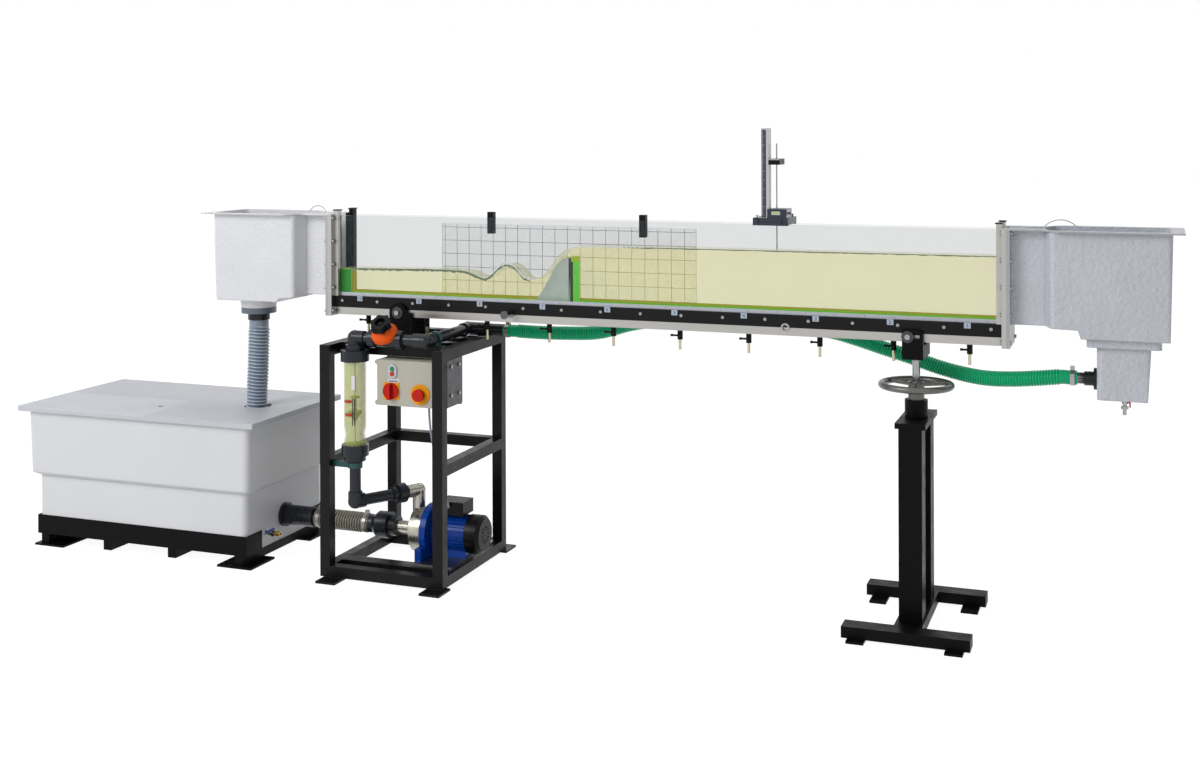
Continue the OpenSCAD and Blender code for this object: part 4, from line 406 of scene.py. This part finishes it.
# Faces of the tank, the pump frame and the stand
DRAIN_BRASS_X = -1082
VALVE_CAP = Vector((-544, -297, 957))
BOX_PLATES_Y = -232.2
BOX_KEYS_Z = 727
BRACKET_SCREWS_X, BRACKET_FOOT_Z = -304.9, 600
FORK_CHEEK_Y = 80.2
WASHER_Y = 84.4
FORK_FOOT_Z = 884


def bearing_face(c, n):
    if abs(c.y) < FORK_CHEEK_Y:
        return 0
    return 2 if abs(c.y) < WASHER_Y else 1


def box_face(c, n):
    if c.y > BOX_PLATES_Y:
        return 0
    return 1 if c.z < BOX_KEYS_Z else 2


dress("tank_drain_valve", ["bright_steel", "brass"], lambda c, n: int(c.x > DRAIN_BRASS_X))
dress("valve_handwheel", ["plastic_black", "switch_red"], lambda c, n: int((c - VALVE_CAP).length < 1))
dress("control_box", ["box_beige", "switch_yellow", "scale_strip"], box_face)
dress("pump_frame", ["frame_paint", "bracket_grey", "bolt_steel"],
      lambda c, n: 2 if c.x > BRACKET_SCREWS_X and c.z > BRACKET_FOOT_Z else 0)
dress("pivot_bearing", ["black_paint", "bright_steel", "bolt_dark"], bearing_face)
dress("jack_spindle", ["black_paint", "bright_steel"], lambda c, n: int(c.z < FORK_FOOT_Z))

# Faces of the channel and the vessels
BED_Z = 1018
BED_HALF_W = 43
POST_CAP_Z = 1337.5
VESSEL_LIP_Z = 1317.5
INLET_FLANGE_X = 1631.5
OUTLET_FLANGE_X = -891.5
FAR_POST_X, FAR_POST_Y = -800, 30
OUTLET_X, OUTLET_REACH = -1247, 80
OUTLET_RING_Z = 924.9
STRAIGHTENER_X, STRAIGHTENER_FOOT_Z = (1677, 1689), 1010
INLET_TAIL_X, INLET_TAIL_TOP_Z = (1831, 1895), 900
TAP_BODY_Z = (902, 934)
BLACK_SEAL_X = (87, 93.01)
FLANGES_X = (-850, 1590)
LIFT_PIN_X, LIFT_PIN_INNER_Y = (1280, 1328), 80
OUTLET_TUBE, OUTLET_TUBE_R, TUBE_FACE_Y = (-132, 975), 14.9, 121.5
INLET_TUBE, INLET_TUBE_R = (890, 970), 9.5
RAIL_SCREWS_Z, RAIL_SCREWS_Y = (988.5, 1002.5), 71


def bed_face(c, n):
    return int(n.z > 0.9 and abs(c.z - BED_Z) < 3 and abs(c.y) < BED_HALF_W)


def end_frame_face(c, n):
    """Black for the posts' caps, and for the inner sides of the far post at the outlet."""
    far_post = c.x < FAR_POST_X and c.y > FAR_POST_Y and c.z > BED_Z - 2
    return int(c.z > POST_CAP_Z or (far_post and (n.x > 0.5 or n.y < -0.5)))


def tap_face(c, n):
    if c.z > TAP_BODY_Z[1]:
        return 1
    return 2 if c.z < TAP_BODY_Z[0] else 0


def seal_face(c, n):
    if c.x < 0:
        return 2
    return 0 if BLACK_SEAL_X[0] < c.x < BLACK_SEAL_X[1] else 1


def fitting_face(c, n):
    """The outlet's hose tail under its ring, the flow straightener, the inlet's hose tail, and the bails."""
    if abs(c.x - OUTLET_X) < OUTLET_REACH:
        return 2 if c.z > OUTLET_RING_Z else 0
    if STRAIGHTENER_X[0] < c.x < STRAIGHTENER_X[1] and c.z > STRAIGHTENER_FOOT_Z:
        return 3
    at_tail = INLET_TAIL_X[0] < c.x < INLET_TAIL_X[1] and c.z < INLET_TAIL_TOP_Z
    return 0 if at_tail else 1


def bolt_face(c, n):
    """The flanges' bolts, the lifting pin with its washer, the lifting tubes with painted shade in the inlet
    tube's bore, and the rails' screws.
    """
    if c.x < FLANGES_X[0] or c.x > FLANGES_X[1]:
        return 1
    if LIFT_PIN_X[0] < c.x < LIFT_PIN_X[1] and abs(c.y) > LIFT_PIN_INNER_Y:
        return 4 if abs(c.y) < WASHER_Y else 0
    if radial(c, *OUTLET_TUBE, 1) < OUTLET_TUBE_R and abs(c.y) > TUBE_FACE_Y:
        return 2
    # painted shade: the bore of the inlet tube is painted near black
    if radial(c, *INLET_TUBE, 1) < INLET_TUBE_R:
        return 3
    if RAIL_SCREWS_Z[0] < c.z < RAIL_SCREWS_Z[1] and abs(c.y) < RAIL_SCREWS_Y:
        return int(abs(n.y) > 0.5)
    return 0


dress("channel_bed", ["stainless", "bed_green"], bed_face)
dress("side_panes", ["pane_glass", "pane_edge"], lambda c, n: int(abs(n.z) > 0.5 or abs(n.x) > 0.5))
dress("end_frames", ["post_steel", "plastic_black"], end_frame_face)
dress("inlet_element", ["vessel_grey", "vessel_rim"],
      lambda c, n: int(c.z > VESSEL_LIP_Z or c.x < INLET_FLANGE_X))
dress("outlet_element", ["outlet_white", "vessel_rim"], lambda c, n: int(c.x > OUTLET_FLANGE_X))
dress("tap_valves", ["plastic_black", "bright_steel", "nozzle"], tap_face)
dress("weir_seals", ["seal_black", "seal_green", "seal_deep"], seal_face)
dress("end_fittings", ["pipe_dark", "bright_steel", "union_ring", "satin_steel"], fitting_face)
dress("flume_bolts", ["bright_steel", "bolt_steel", "face_grey", "hole", "bolt_dark"], bolt_face)


# Faces of the level gauge
COLUMN_X, COLUMN_Z = 832.2, (1341.6, 1643.9)
BLOCK_END_X, BLOCK_FOOT_Z = 894, 1342
PROBE_X, PROBE_R = 846, 2.8


def carriage_face(c, n):
    """The column's cap, the column, the light end of the block, and the block."""
    if c.z > COLUMN_Z[1]:
        return 2
    if c.x < COLUMN_X and c.z > COLUMN_Z[0]:
        return 1
    if n.x > 0.5 and c.x > BLOCK_END_X and c.z > BLOCK_FOOT_Z:
        return 3
    return 0


dress("gauge_carriage", ["gauge_dark", "column_profile", "plastic_black", "gauge_end"], carriage_face)
dress("gauge_slider", ["plastic_black", "bright_steel"],
      lambda c, n: int(radial(c, PROBE_X, 0, 2) < PROBE_R))

# Faces of the flow circuit
METER, METER_ROD_R = (-677, -240), 2.5
METER_CLIP_Z, METER_CLIP_BACK_Y = 419, -200
PRESSURE_PIPE, PRESSURE_PIPE_R = (-388, 885), 20.8
PIPE_CLIP_Y, PIPE_CLIP_LEFT_X, PIPE_CLIP_TOP_Z = -167, -420, 915
CLIP_REACH = 11
SOCKET_X = -780
SUPPLY_TAIL_X = -330


def pipework_face(c, n):
    """The tank's socket, the teal clips at the meter and on the pressure pipe, and the dark hose tail."""
    if c.x < SOCKET_X:
        return 0
    if abs(c.z - METER_CLIP_Z) < CLIP_REACH and c.y < METER_CLIP_BACK_Y:
        return 1
    at_clip = abs(c.y - PIPE_CLIP_Y) < CLIP_REACH and c.x > PIPE_CLIP_LEFT_X and c.z < PIPE_CLIP_TOP_Z
    if at_clip and radial(c, *PRESSURE_PIPE, 1) > PRESSURE_PIPE_R:
        return 1
    return 2 if c.x > SUPPLY_TAIL_X else 0


dress("pvc_pipework", ["pipe_grey", "clip_teal", "pipe_dark"], pipework_face)
dress("rotameter_tube", ["meter_clear", "satin_steel"],
      lambda c, n: int(radial(c, *METER, 2) < METER_ROD_R))


# Mesh helpers
def mesh_object(name, verts, faces, names, body=None, smooth=True, indices=None):
    """A mesh piece from points in metres, with its materials, riding on a body."""
    mesh = bpy.data.meshes.new(name)
    mesh.from_pydata([tuple(v) for v in verts], [], faces)
    mesh.update()
    for material in names:
        mesh.materials.append(materials[material])
    if indices:
        mesh.polygons.foreach_set("material_index", indices)
    if smooth:
        mesh.polygons.foreach_set("use_smooth", [True] * len(mesh.polygons))
    piece = bpy.data.objects.new(name, mesh)
    scene.collection.objects.link(piece)
    if body:
        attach(piece, body)
    return piece


def boxes(name, limits, names, body, bevel=0.0):
    """Boxes as one piece, each from its limits along X, Y and Z in millimetres and its material's index."""
    corners = ((0, 1, 3, 2), (4, 6, 7, 5), (0, 4, 5, 1), (2, 3, 7, 6), (0, 2, 6, 4), (1, 5, 7, 3))
    verts, faces, indices = [], [], []
    for x0, x1, y0, y1, z0, z1, *index in limits:
        first = len(verts)
        verts += [point(x, y, z) for x in (x0, x1) for y in (y0, y1) for z in (z0, z1)]
        faces += [tuple(first + i for i in face) for face in corners]
        indices += (index or [0]) * len(corners)
    piece = mesh_object(name, verts, faces, names, body, smooth=False, indices=indices)
    if bevel:
        rounding = piece.modifiers.new("bevel", "BEVEL")
        rounding.width = bevel
        rounding.segments = 2
    return piece


def smooth_line(points, steps):
    """A smooth curve through points. steps(start, end) says in how many steps a stretch is drawn."""
    pts = [Vector(p) for p in points]
    last = len(pts) - 1
    line = []
    for i in range(last):
        a, b, c, d = (pts[k] for k in (max(i - 1, 0), i, i + 1, min(i + 2, last)))
        n = steps(b, c)
        for t in (k / n for k in range(n)):
            chord = 2 * b + (c - a) * t
            bend = (2 * a - 5 * b + 4 * c - d) * t * t
            line.append(0.5 * (chord + bend + (3 * b - a - 3 * c + d) * t ** 3))
    line.append(pts[-1])
    return line


def resample(path, step):
    """The same path with its points at an even distance."""
    out, left = [path[0]], 0.0
    for a, b in zip(path, path[1:]):
        stretch = (b - a).length
        at = step - left
        while at <= stretch:
            out.append(a.lerp(b, at / stretch))
            at += step
        left = stretch - (at - step)
    if (out[-1] - path[-1]).length > step * 0.3:
        out.append(path[-1])
    else:
        out[-1] = path[-1]
    return out


# Hoses and the motor's cable
MOUTH_DEPTH = 0.02
ROUTE_STEP = 0.002


def hose_rings(path, radius, total, sides):
    """The points of a hose's skin, ring by ring, without a twist along the path."""
    verts = []
    across = None
    travelled = 0.0
    for i, p in enumerate(path):
        ahead = (path[min(i + 1, len(path) - 1)] - path[max(i - 1, 0)]).normalized()
        if across is None:
            aside = Vector((0, 0, 1)) if abs(ahead.z) < 0.9 else Vector((0, 1, 0))
            across = ahead.cross(aside).normalized()
        else:
            across = (across - ahead * across.dot(ahead)).normalized()
            travelled += (p - path[i - 1]).length / MM
        over = ahead.cross(across)
        for k in range(sides):
            angle = 2 * math.pi * k / sides
            outward = across * math.cos(angle) + over * math.sin(angle)
            verts.append(p + outward * (radius(travelled, angle, total) * MM))
    return verts


def add_mouth(verts, faces, path, sides, bore, at_start):
    """Closes one end of a hose with a blind bore, so that it looks open."""
    centre = path[0] if at_start else path[-1]
    inward = (path[1] - path[0] if at_start else path[-2] - path[-1]).normalized() * MOUTH_DEPTH
    rim = 0 if at_start else (len(path) - 1) * sides
    first = len(verts)
    spokes = [(verts[rim + k] - centre).normalized() * (bore * MM) for k in range(sides)]
    verts += [centre + spoke for spoke in spokes]
    verts += [centre + spoke + inward for spoke in spokes]
    verts.append(centre + inward)
    middle = len(verts) - 1
    for k in range(sides):
        after = (k + 1) % sides
        outer = (rim + k, rim + after)
        inner = (first + k, first + after)
        deep = (first + sides + k, first + sides + after)
        ring = [(outer[0], inner[0], inner[1], outer[1]), (inner[0], deep[0], deep[1], inner[1])]
        for face in ring + [(deep[0], middle, deep[1])]:
            faces.append(face if at_start else face[::-1])


def hose(name, node, route, radius, material, sides, step, bore):
    """A hose or cable in place of a node, along a route in millimetres.

    radius(s, angle, total) is the radius at s millimetres from the start of the total length.
    Returns the piece, the points that it follows and its length in metres.
    """
    points = [point(*p) for p in route]
    fine = smooth_line(points, lambda start, end: max(1, round((end - start).length / ROUTE_STEP)))
    path = resample(fine, step)
    total = sum((b - a).length for a, b in zip(path, path[1:])) / MM
    verts = hose_rings(path, radius, total, sides)
    faces = []
    for i in range(len(path) - 1):
        for k in range(sides):
            a, b = i * sides + k, i * sides + (k + 1) % sides
            faces.append((a, b, b + sides, a + sides))
    add_mouth(verts, faces, path, sides, bore, True)
    add_mouth(verts, faces, path, sides, bore, False)
    piece = mesh_object(name, verts, faces, [material])
    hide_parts(node)
    return piece, path, total * MM


def spiral(root, crest, pitch, plain, sharp):
    """The radius of a hose with a spiral rib, which leaves both ends plain."""
    def radius(s, angle, total):
        if s < plain or s > total - plain:
            return root
        ramp = min(1, (s - plain) / 8, (total - plain - s) / 8)
        rib = (0.5 + 0.5 * math.cos(2 * math.pi * s / pitch + angle)) ** sharp
        return root + (crest - root) * rib * ramp
    return radius


# The route of part.scad, led up to 14 mm further back behind the stand's handwheel
SUPPLY = [(-233, 110, 885), (-207, 110, 885), (-180, 110, 885), (-100, 115, 883), (0, 120, 884),
          (140, 122, 893), (260, 122, 927), (350, 122, 943), (480, 122, 946), (680, 122, 946),
          (880, 122, 946), (1000, 122, 938), (1092, 122, 917), (1190, 121, 889), (1290, 121, 861),
          (1367, 119, 837), (1452, 106, 819), (1537, 70, 814), (1620, 34, 821), (1701, 10, 832),
          (1780, 0, 843), (1806, 0, 843), (1832, 0, 843)]
supply, path, length = hose("supply_hose_ribbed", "supply_hose", SUPPLY, spiral(22.9, 26, 9.2, 50, 0.8),
                            "hose_green", 20, 0.0015, 20)
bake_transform(supply)

# The route of part.scad
DRAIN = [(-1247, 0, 897), (-1247, 0, 870), (-1247, 0, 850), (-1252, 0, 700), (-1257, 0, 600),
         (-1257, 0, 500), (-1257, 0, 400), (-1257, 0, 300)]
drain, path, length = hose("outlet_hose_ribbed", "outlet_hose", DRAIN, spiral(38.0, 43, 13.4, 30, 1.8),
                           "hose_grey", 28, 0.0018, 34)
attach(drain, "flume")

SUCTION = [(-977, -8, 140), (-900, -8, 140), (-820, -8, 140), (-745, -8, 140)]
suction = hose("suction_hose_ribbed", "suction_hose", SUCTION, spiral(34.0, 38, 11, 26, 1.6),
               "hose_clear", 28, 0.0014, 30)[0]
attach(suction, "base")

CABLE = [(-410, -170, 643), (-410, -170, 620), (-408, -166, 560), (-403, -150, 480), (-398, -125, 400),
         (-394, -95, 330), (-390, -75, 290), (-388, -64, 262), (-388, -60, 244), (-388, -56, 244),
         (-388, -52, 244)]
CABLE_R = 4.0
cable = hose("motor_cable_round", "motor_cable", CABLE, lambda s, angle, total: CABLE_R,
             "cable_grey", 12, 0.004, 1.5)[0]
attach(cable, "base")

# Water in the channel, over the weir
WATER_HALF_W = 42.4
WATER_FLOOR_Z = 1018.4
WATER_X = (-850, 1603)
WEIR_X, WEIR_L, WEIR_H = 80, 142, 163
WEIR_TOE_X = -64
WEIR_FRONT_X, WEIR_CREST_Z = 98.5, 1183
WEIR_GAP = 1.2
SURFACE = [(1603, 1230), (1200, 1229), (700, 1227.5), (300, 1226), (175, 1225), (132, 1222),
           (94, 1216), (70, 1205), (47, 1187), (20, 1152), (-6, 1120), (-30, 1102), (-56, 1098),
           (-83, 1101), (-108, 1124), (-132, 1144), (-155, 1150), (-180, 1143), (-208, 1118),
           (-240, 1096), (-275, 1103), (-310, 1116), (-350, 1121), (-480, 1122), (-640, 1119),
           (-850, 1115)]
water_line = [tuple(p) for p in smooth_line(SURFACE, lambda start, end: 4)]


def make_water():
    """A closed solid between the panes, from the surface down to the floor and the weir's curved back."""
    back = [(WEIR_X - WEIR_L * t, BED_Z + WEIR_H * (1 + math.cos(math.pi * t)) / 2 + WEIR_GAP)
            for t in (i / 14 for i in range(15))]
    under = [(WATER_X[0], WATER_FLOOR_Z), (WEIR_TOE_X, WATER_FLOOR_Z)] + back[::-1]
    under += [(WEIR_FRONT_X, WEIR_CREST_Z), (WEIR_FRONT_X, WATER_FLOOR_Z), (WATER_X[1], WATER_FLOOR_Z)]
    outline = water_line + under
    n = len(outline)
    verts = [point(x, y, z) for y in (-WATER_HALF_W, WATER_HALF_W) for x, z in outline]
    faces = [tuple(range(n)), tuple(reversed(range(n, 2 * n)))]
    faces += [(i, i + n, (i + 1) % n + n, (i + 1) % n) for i in range(n)]
    sides = ["water_side", "water_top", "water_end"]
    water = mesh_object("channel_water", verts, faces, sides, "flume", smooth=False)
    for face in water.data.polygons:
        if face.normal.z > 0.35:
            face.material_index = 1
        elif abs(face.normal.y) <= 0.5:
            face.material_index = 2


make_water()

# Faces towards the operator, in millimetres before the middle of the channel
PANE_FACE = 53
COLUMN_FACE = 58
BLOCK_FACE = 62
STEEL_FACE = 62
SLIDER_FACE = 64
RAIL_FACE = 66
BOX_FACE = 232
METER_FACE = 281


def layer(face, thick, gap=0.02):
    """The limits along Y of a thin layer on a face towards the operator."""
    return -face - thick, -face - gap


def lettering(name, items, material, body):
    """Plain numbers as thin pieces that face the operator: (text, x, y, z, height) in millimetres."""
    verts, faces = [], []
    for text, x, y, z, height in items:
        curve = bpy.data.curves.new("text", "FONT")
        curve.body = text
        curve.size = height * MM
        curve.align_x = "CENTER"
        curve.align_y = "CENTER"
        curve.resolution_u = 2
        holder = bpy.data.objects.new("text", curve)
        scene.collection.objects.link(holder)
        shaped = holder.evaluated_get(bpy.context.evaluated_depsgraph_get())
        mesh = bpy.data.meshes.new_from_object(shaped)
        first = len(verts)
        verts += [Vector((v.co.x + x * MM, y * MM, v.co.y + z * MM)) for v in mesh.vertices]
        faces += [tuple(first + i for i in face.vertices) for face in mesh.polygons]
        bpy.data.objects.remove(holder)
        bpy.data.meshes.remove(mesh)
        bpy.data.curves.remove(curve)
    mesh_object(name, verts, faces, [material], body, smooth=False)


def make_grid():
    """The printed film with its squares, on the far pane."""
    x0, x1, z0, z1, pitch = -466, 540, 1014, 1291, 50
    half = 0.8
    depth = (52.4, 53.03)
    height = (z0 + 6, z1 - 3)
    upright = range(x0 + 12, x1, pitch)
    level = range(z0 + 12, z1 - 1, pitch)
    lines = [(x - half, x + half, *depth, *height) for x in upright]
    lines += [(x, x + 1, *depth, *height) for x in (x0, x1 - 1)]
    lines += [(x0, x1, *depth, z - half, z + half) for z in level]
    boxes("grid_sheet", [(x0, x1, PANE_FACE + 0.05, PANE_FACE + 0.35, z0, z1)], ["grid_sheet"], "flume")
    boxes("grid_lines", lines, ["grid_line"], "flume")


def tick_height(k):
    """Long ticks every 100 mm, middle ones every 50 mm and short ones every 10 mm."""
    if k % 10 == 0:
        return 9
    return 6.5 if k % 5 == 0 else 4


def make_scales():
    """A millimetre scale along the foot of each pane."""
    foot, top = 1013.2, 1026
    first_x, pitch, count = -842, 10, 243
    half = 0.55
    strips, ticks = [], []
    for side in (-1, 1):
        strip_y = sorted((side * (PANE_FACE + 0.02), side * (PANE_FACE + 0.5)))
        tick_y = sorted((side * (PANE_FACE + 0.52), side * (PANE_FACE + 0.62)))
        strips.append((-846, 1586, *strip_y, foot, top))
        for k in range(count):
            x = first_x + pitch * k
            ticks.append((x - half, x + half, *tick_y, top - tick_height(k), top - 0.5))
    boxes("scale_strips", strips, ["scale_strip"], "flume")
    boxes("scale_ticks", ticks, ["ink"], "flume")


def make_tap_numbers():
    """A small plate with a plain number on the rail over each pressure tap."""
    middle_x, pitch, z = 370, 250, 1004.5
    half_w, half_h = 11, 9.5
    plates, numbers = [], []
    for i in range(1, TAP_COUNT + 1):
        x = middle_x + ((TAP_COUNT + 1) / 2 - i) * pitch
        plates.append((x - half_w, x + half_w, *layer(RAIL_FACE, 0.8, 0.05), z - half_h, z + half_h))
        numbers.append((str(i), x, -RAIL_FACE - 1.1, z - 0.5, 17))
    boxes("tap_numbers_plates", plates, ["label_blue"], "flume", 0.0005)
    lettering("tap_numbers", numbers, "ink", "flume")


def make_seal_faces():
    """The green floor and the seals, as they show through the near pane, with a painted glow on the floor
    and on the green seals.
    """
    painted_glow_y = (-42.75, -42.5)
    seal_y = (-42.95, -42.5)
    glow = [(129, 1586, *painted_glow_y, 1018.5, 1031), (-804, -64, *painted_glow_y, 1018.5, 1028)]
    boxes("bed_painted_glow", glow, ["bed_painted_glow"], "flume")
    seals = [
        (94, 105, *seal_y, 1020, 1168, 0),
        (109, 127.5, *seal_y, 1020, 1168, 1),
        (-846, -806, *seal_y, 1020, 1112, 2),
    ]
    boxes("seal_strips", seals, ["seal_black", "seal_green", "seal_deep"], "flume")


RIBBON_STEP = 8


def ribbon(name, lift, y, thick, material, x0, x1, jitter=0.0):
    """A thin uneven band along the water's surface, between two places along X."""
    pts = [(x, z + lift) for x, z in water_line if x0 <= x <= x1]
    verts = []
    for start, end in zip(pts, pts[1:]):
        steps = max(1, int(abs(start[0] - end[0]) / RIBBON_STEP))
        count = steps + 1 if end == pts[-1] else steps
        for k in range(count):
            t = k / steps
            x = start[0] + (end[0] - start[0]) * t
            z = start[1] + (end[1] - start[1]) * t
            drop = thick * (0.6 + 0.8 * random.random()) + jitter * random.random()
            verts += [point(x, y, z - drop), point(x, y, z + 0.4 + jitter * random.random() * 0.6)]
    faces = [(a, a + 2, a + 3, a + 1) for a in range(0, len(verts) - 2, 2)]
    mesh_object(name, verts, faces, [material], "flume", smooth=False)


def make_surface_lines():
    """The dark line of the water's surface, and the foam at the weir and in the jump."""
    ribbon("surface_edge_right", 0, -42.7, 3.2, "surface_line", 300, 1604)
    ribbon("surface_edge_left", 0, -42.7, 5.5, "surface_line", -848, -60, 3.0)
    ribbon("foam_crest", 3, -42.9, 2.5, "foam", 120, 420, 4.5)
    ribbon("foam_hump", 5, -42.9, 2.0, "foam", -190, -60, 7.0)
    ribbon("foam_slope", -9, -42.9, 5.0, "foam", 8, 92, 0.5)


def make_gauge_marks():
    """A dark scale with light ticks on the column, a vial in the block and a light edge on the slider."""
    x0, first_z, pitch, count, thick = 807.4, 1350, 3, 97, 0.9
    ticks = []
    for k in range(count):
        reach = 10 if k % 10 == 0 else 5
        z = first_z + pitch * k
        ticks.append((x0, x0 + reach, *layer(COLUMN_FACE, 0.66, 0.52), z, z + thick))
    boxes("gauge_scale", [(806.6, 823, *layer(COLUMN_FACE, 0.5), 1343, 1643)], ["scale_dark"], "carriage")
    boxes("gauge_ticks", ticks, ["scale_strip"], "carriage")
    vial = [
        (842, 872, *layer(BLOCK_FACE, 0.6), 1352, 1364, 0),
        (846, 868, *layer(BLOCK_FACE, 1.0, 0.62), 1354.5, 1361.5, 1),
    ]
    boxes("gauge_vial", vial, ["column_profile", "vial_green"], "carriage", 0.0004)
    edge = (833, 872, *layer(SLIDER_FACE, 0.5), 1539.5, 1542.5)
    boxes("gauge_slider_edges", [edge], ["column_profile"], "slider", 0.0003)


def disc(name, x, y, z, radius, thick, material, body, sides=24):
    """A flat disc, a little narrower along Y."""
    angles = [2 * math.pi * k / sides for k in range(sides)]
    verts = [point(x + radius * math.cos(a), y + radius * 0.8 * math.sin(a), level)
             for level in (z - thick / 2, z + thick / 2) for a in angles]
    faces = [tuple(range(sides - 1, -1, -1)), tuple(range(sides, 2 * sides))]
    faces += [(k, (k + 1) % sides, (k + 1) % sides + sides, k + sides) for k in range(sides)]
    mesh_object(name, verts, faces, [material], body, smooth=False)


def make_frame_marks():
    """The bracket's face, the box's bare label, the meter's contacts and scale, a mark on the channel."""
    bracket = (-304.95, -304.2, -234.5, -110.5, 648.5, 816.5)
    boxes("bracket_face", [bracket], ["bracket_grey"], "base", 0.0004)
    label = [
        (-545, -500, *layer(BOX_FACE, 0.9, 0.05), 724, 741, 0),
        (-541, -504, *layer(BOX_FACE, 1.1, 0.91), 730, 735, 1),
    ]
    boxes("box_label", label, ["label_white", "grid_line"], "base")
    scale = (-668, -654, *layer(METER_FACE, 0.6, 0), 700, 752)
    boxes("meter_scale", [scale], ["label_white"], "base", 0.0003)
    disc("meter_contact_1", -683, -277, 657, 15, 8, "contact_red", "base")
    disc("meter_contact_2", -681, -277, 609, 15, 8, "contact_red", "base")
    rods = [(-666, -663.6, -281, -279, 570, 668), (-659, -656.6, -279, -277, 570, 668)]
    boxes("meter_rods", rods, ["ink"], "base")
    mark = (-124, -106, *layer(STEEL_FACE, 1.4, 0.05), 946, 966)
    boxes("lift_mark", [mark], ["label_white"], "flume", 0.0003)


make_grid()
make_scales()
make_tap_numbers()
make_seal_faces()
make_surface_lines()
make_gauge_marks()
make_frame_marks()


# Stage
FLOOR_GREY = 0.86
FLOOR_GLOW = 1.30
GLOW_SHARE = 0.72


def make_floor(half=30):
    """A pale floor that shows white, keeps the object's shadow and lights the object less."""
    mesh = bpy.data.meshes.new("floor")
    corners = [(-half, -half, 0), (half, -half, 0), (half, half, 0), (-half, half, 0)]
    mesh.from_pydata(corners, [], [(0, 1, 2, 3)])
    floor = bpy.data.objects.new("floor", mesh)
    scene.collection.objects.link(floor)
    material = bpy.data.materials.new("floor_pale")
    net = Net(material)
    net.bsdf.inputs["Base Color"].default_value = (FLOOR_GREY, FLOOR_GREY, FLOOR_GREY, 1)
    net.bsdf.inputs["Roughness"].default_value = 0.9
    net.bsdf.inputs["Specular IOR Level"].default_value = 0.0
    white = net.new("Emission")
    white.inputs["Color"].default_value = (1, 1, 1, 1)
    white.inputs["Strength"].default_value = FLOOR_GLOW
    blend = net.new("MixShader")
    net.link(net.math("MULTIPLY", net.seen_directly(), GLOW_SHARE), blend.inputs[0])
    net.link(net.bsdf.outputs[0], blend.inputs[1])
    net.link(white.outputs[0], blend.inputs[2])
    net.link(blend.outputs[0], net.tree.nodes["Material Output"].inputs["Surface"])
    mesh.materials.append(material)


def make_world():
    """White where it is seen, and a softer light on the object that grows towards the outlet end."""
    scene.world = bpy.data.worlds.new("studio")
    net = Net(scene.world)
    background = net.tree.nodes["Background"]
    direction = net.new("SeparateXYZ")
    net.link(net.coord.outputs["Generated"], direction.inputs[0])
    light = net.span(direction.outputs[0], 0.62, 0.2, -1.0, 1.0)
    net.link(net.span(net.seen_directly(), light, 1.0, 0.0, 1.0), background.inputs["Strength"])
    background.inputs["Color"].default_value = (1, 1, 1, 1)


def lamp(name, at, target, size, power):
    data = bpy.data.lights.new(name, "AREA")
    data.shape = "RECTANGLE"
    data.size, data.size_y = size
    data.energy = power
    light = bpy.data.objects.new(name, data)
    scene.collection.objects.link(light)
    light.location = at
    light.rotation_euler = (Vector(target) - Vector(at)).to_track_quat("-Z", "Y").to_euler()


make_floor()
make_world()
lamp("key", (-3.2, -5.2, 4.2), (-0.2, 0, 0.7), (3.5, 3.0), 205)
lamp("fill", (3.5, -4.5, 3.0), (0.6, 0, 0.8), (3.0, 2.5), 8)
lamp("top", (0, 0.8, 5.0), (0, 0, 0.8), (5.0, 2.0), 45)
scene.view_settings.view_transform = "Standard"
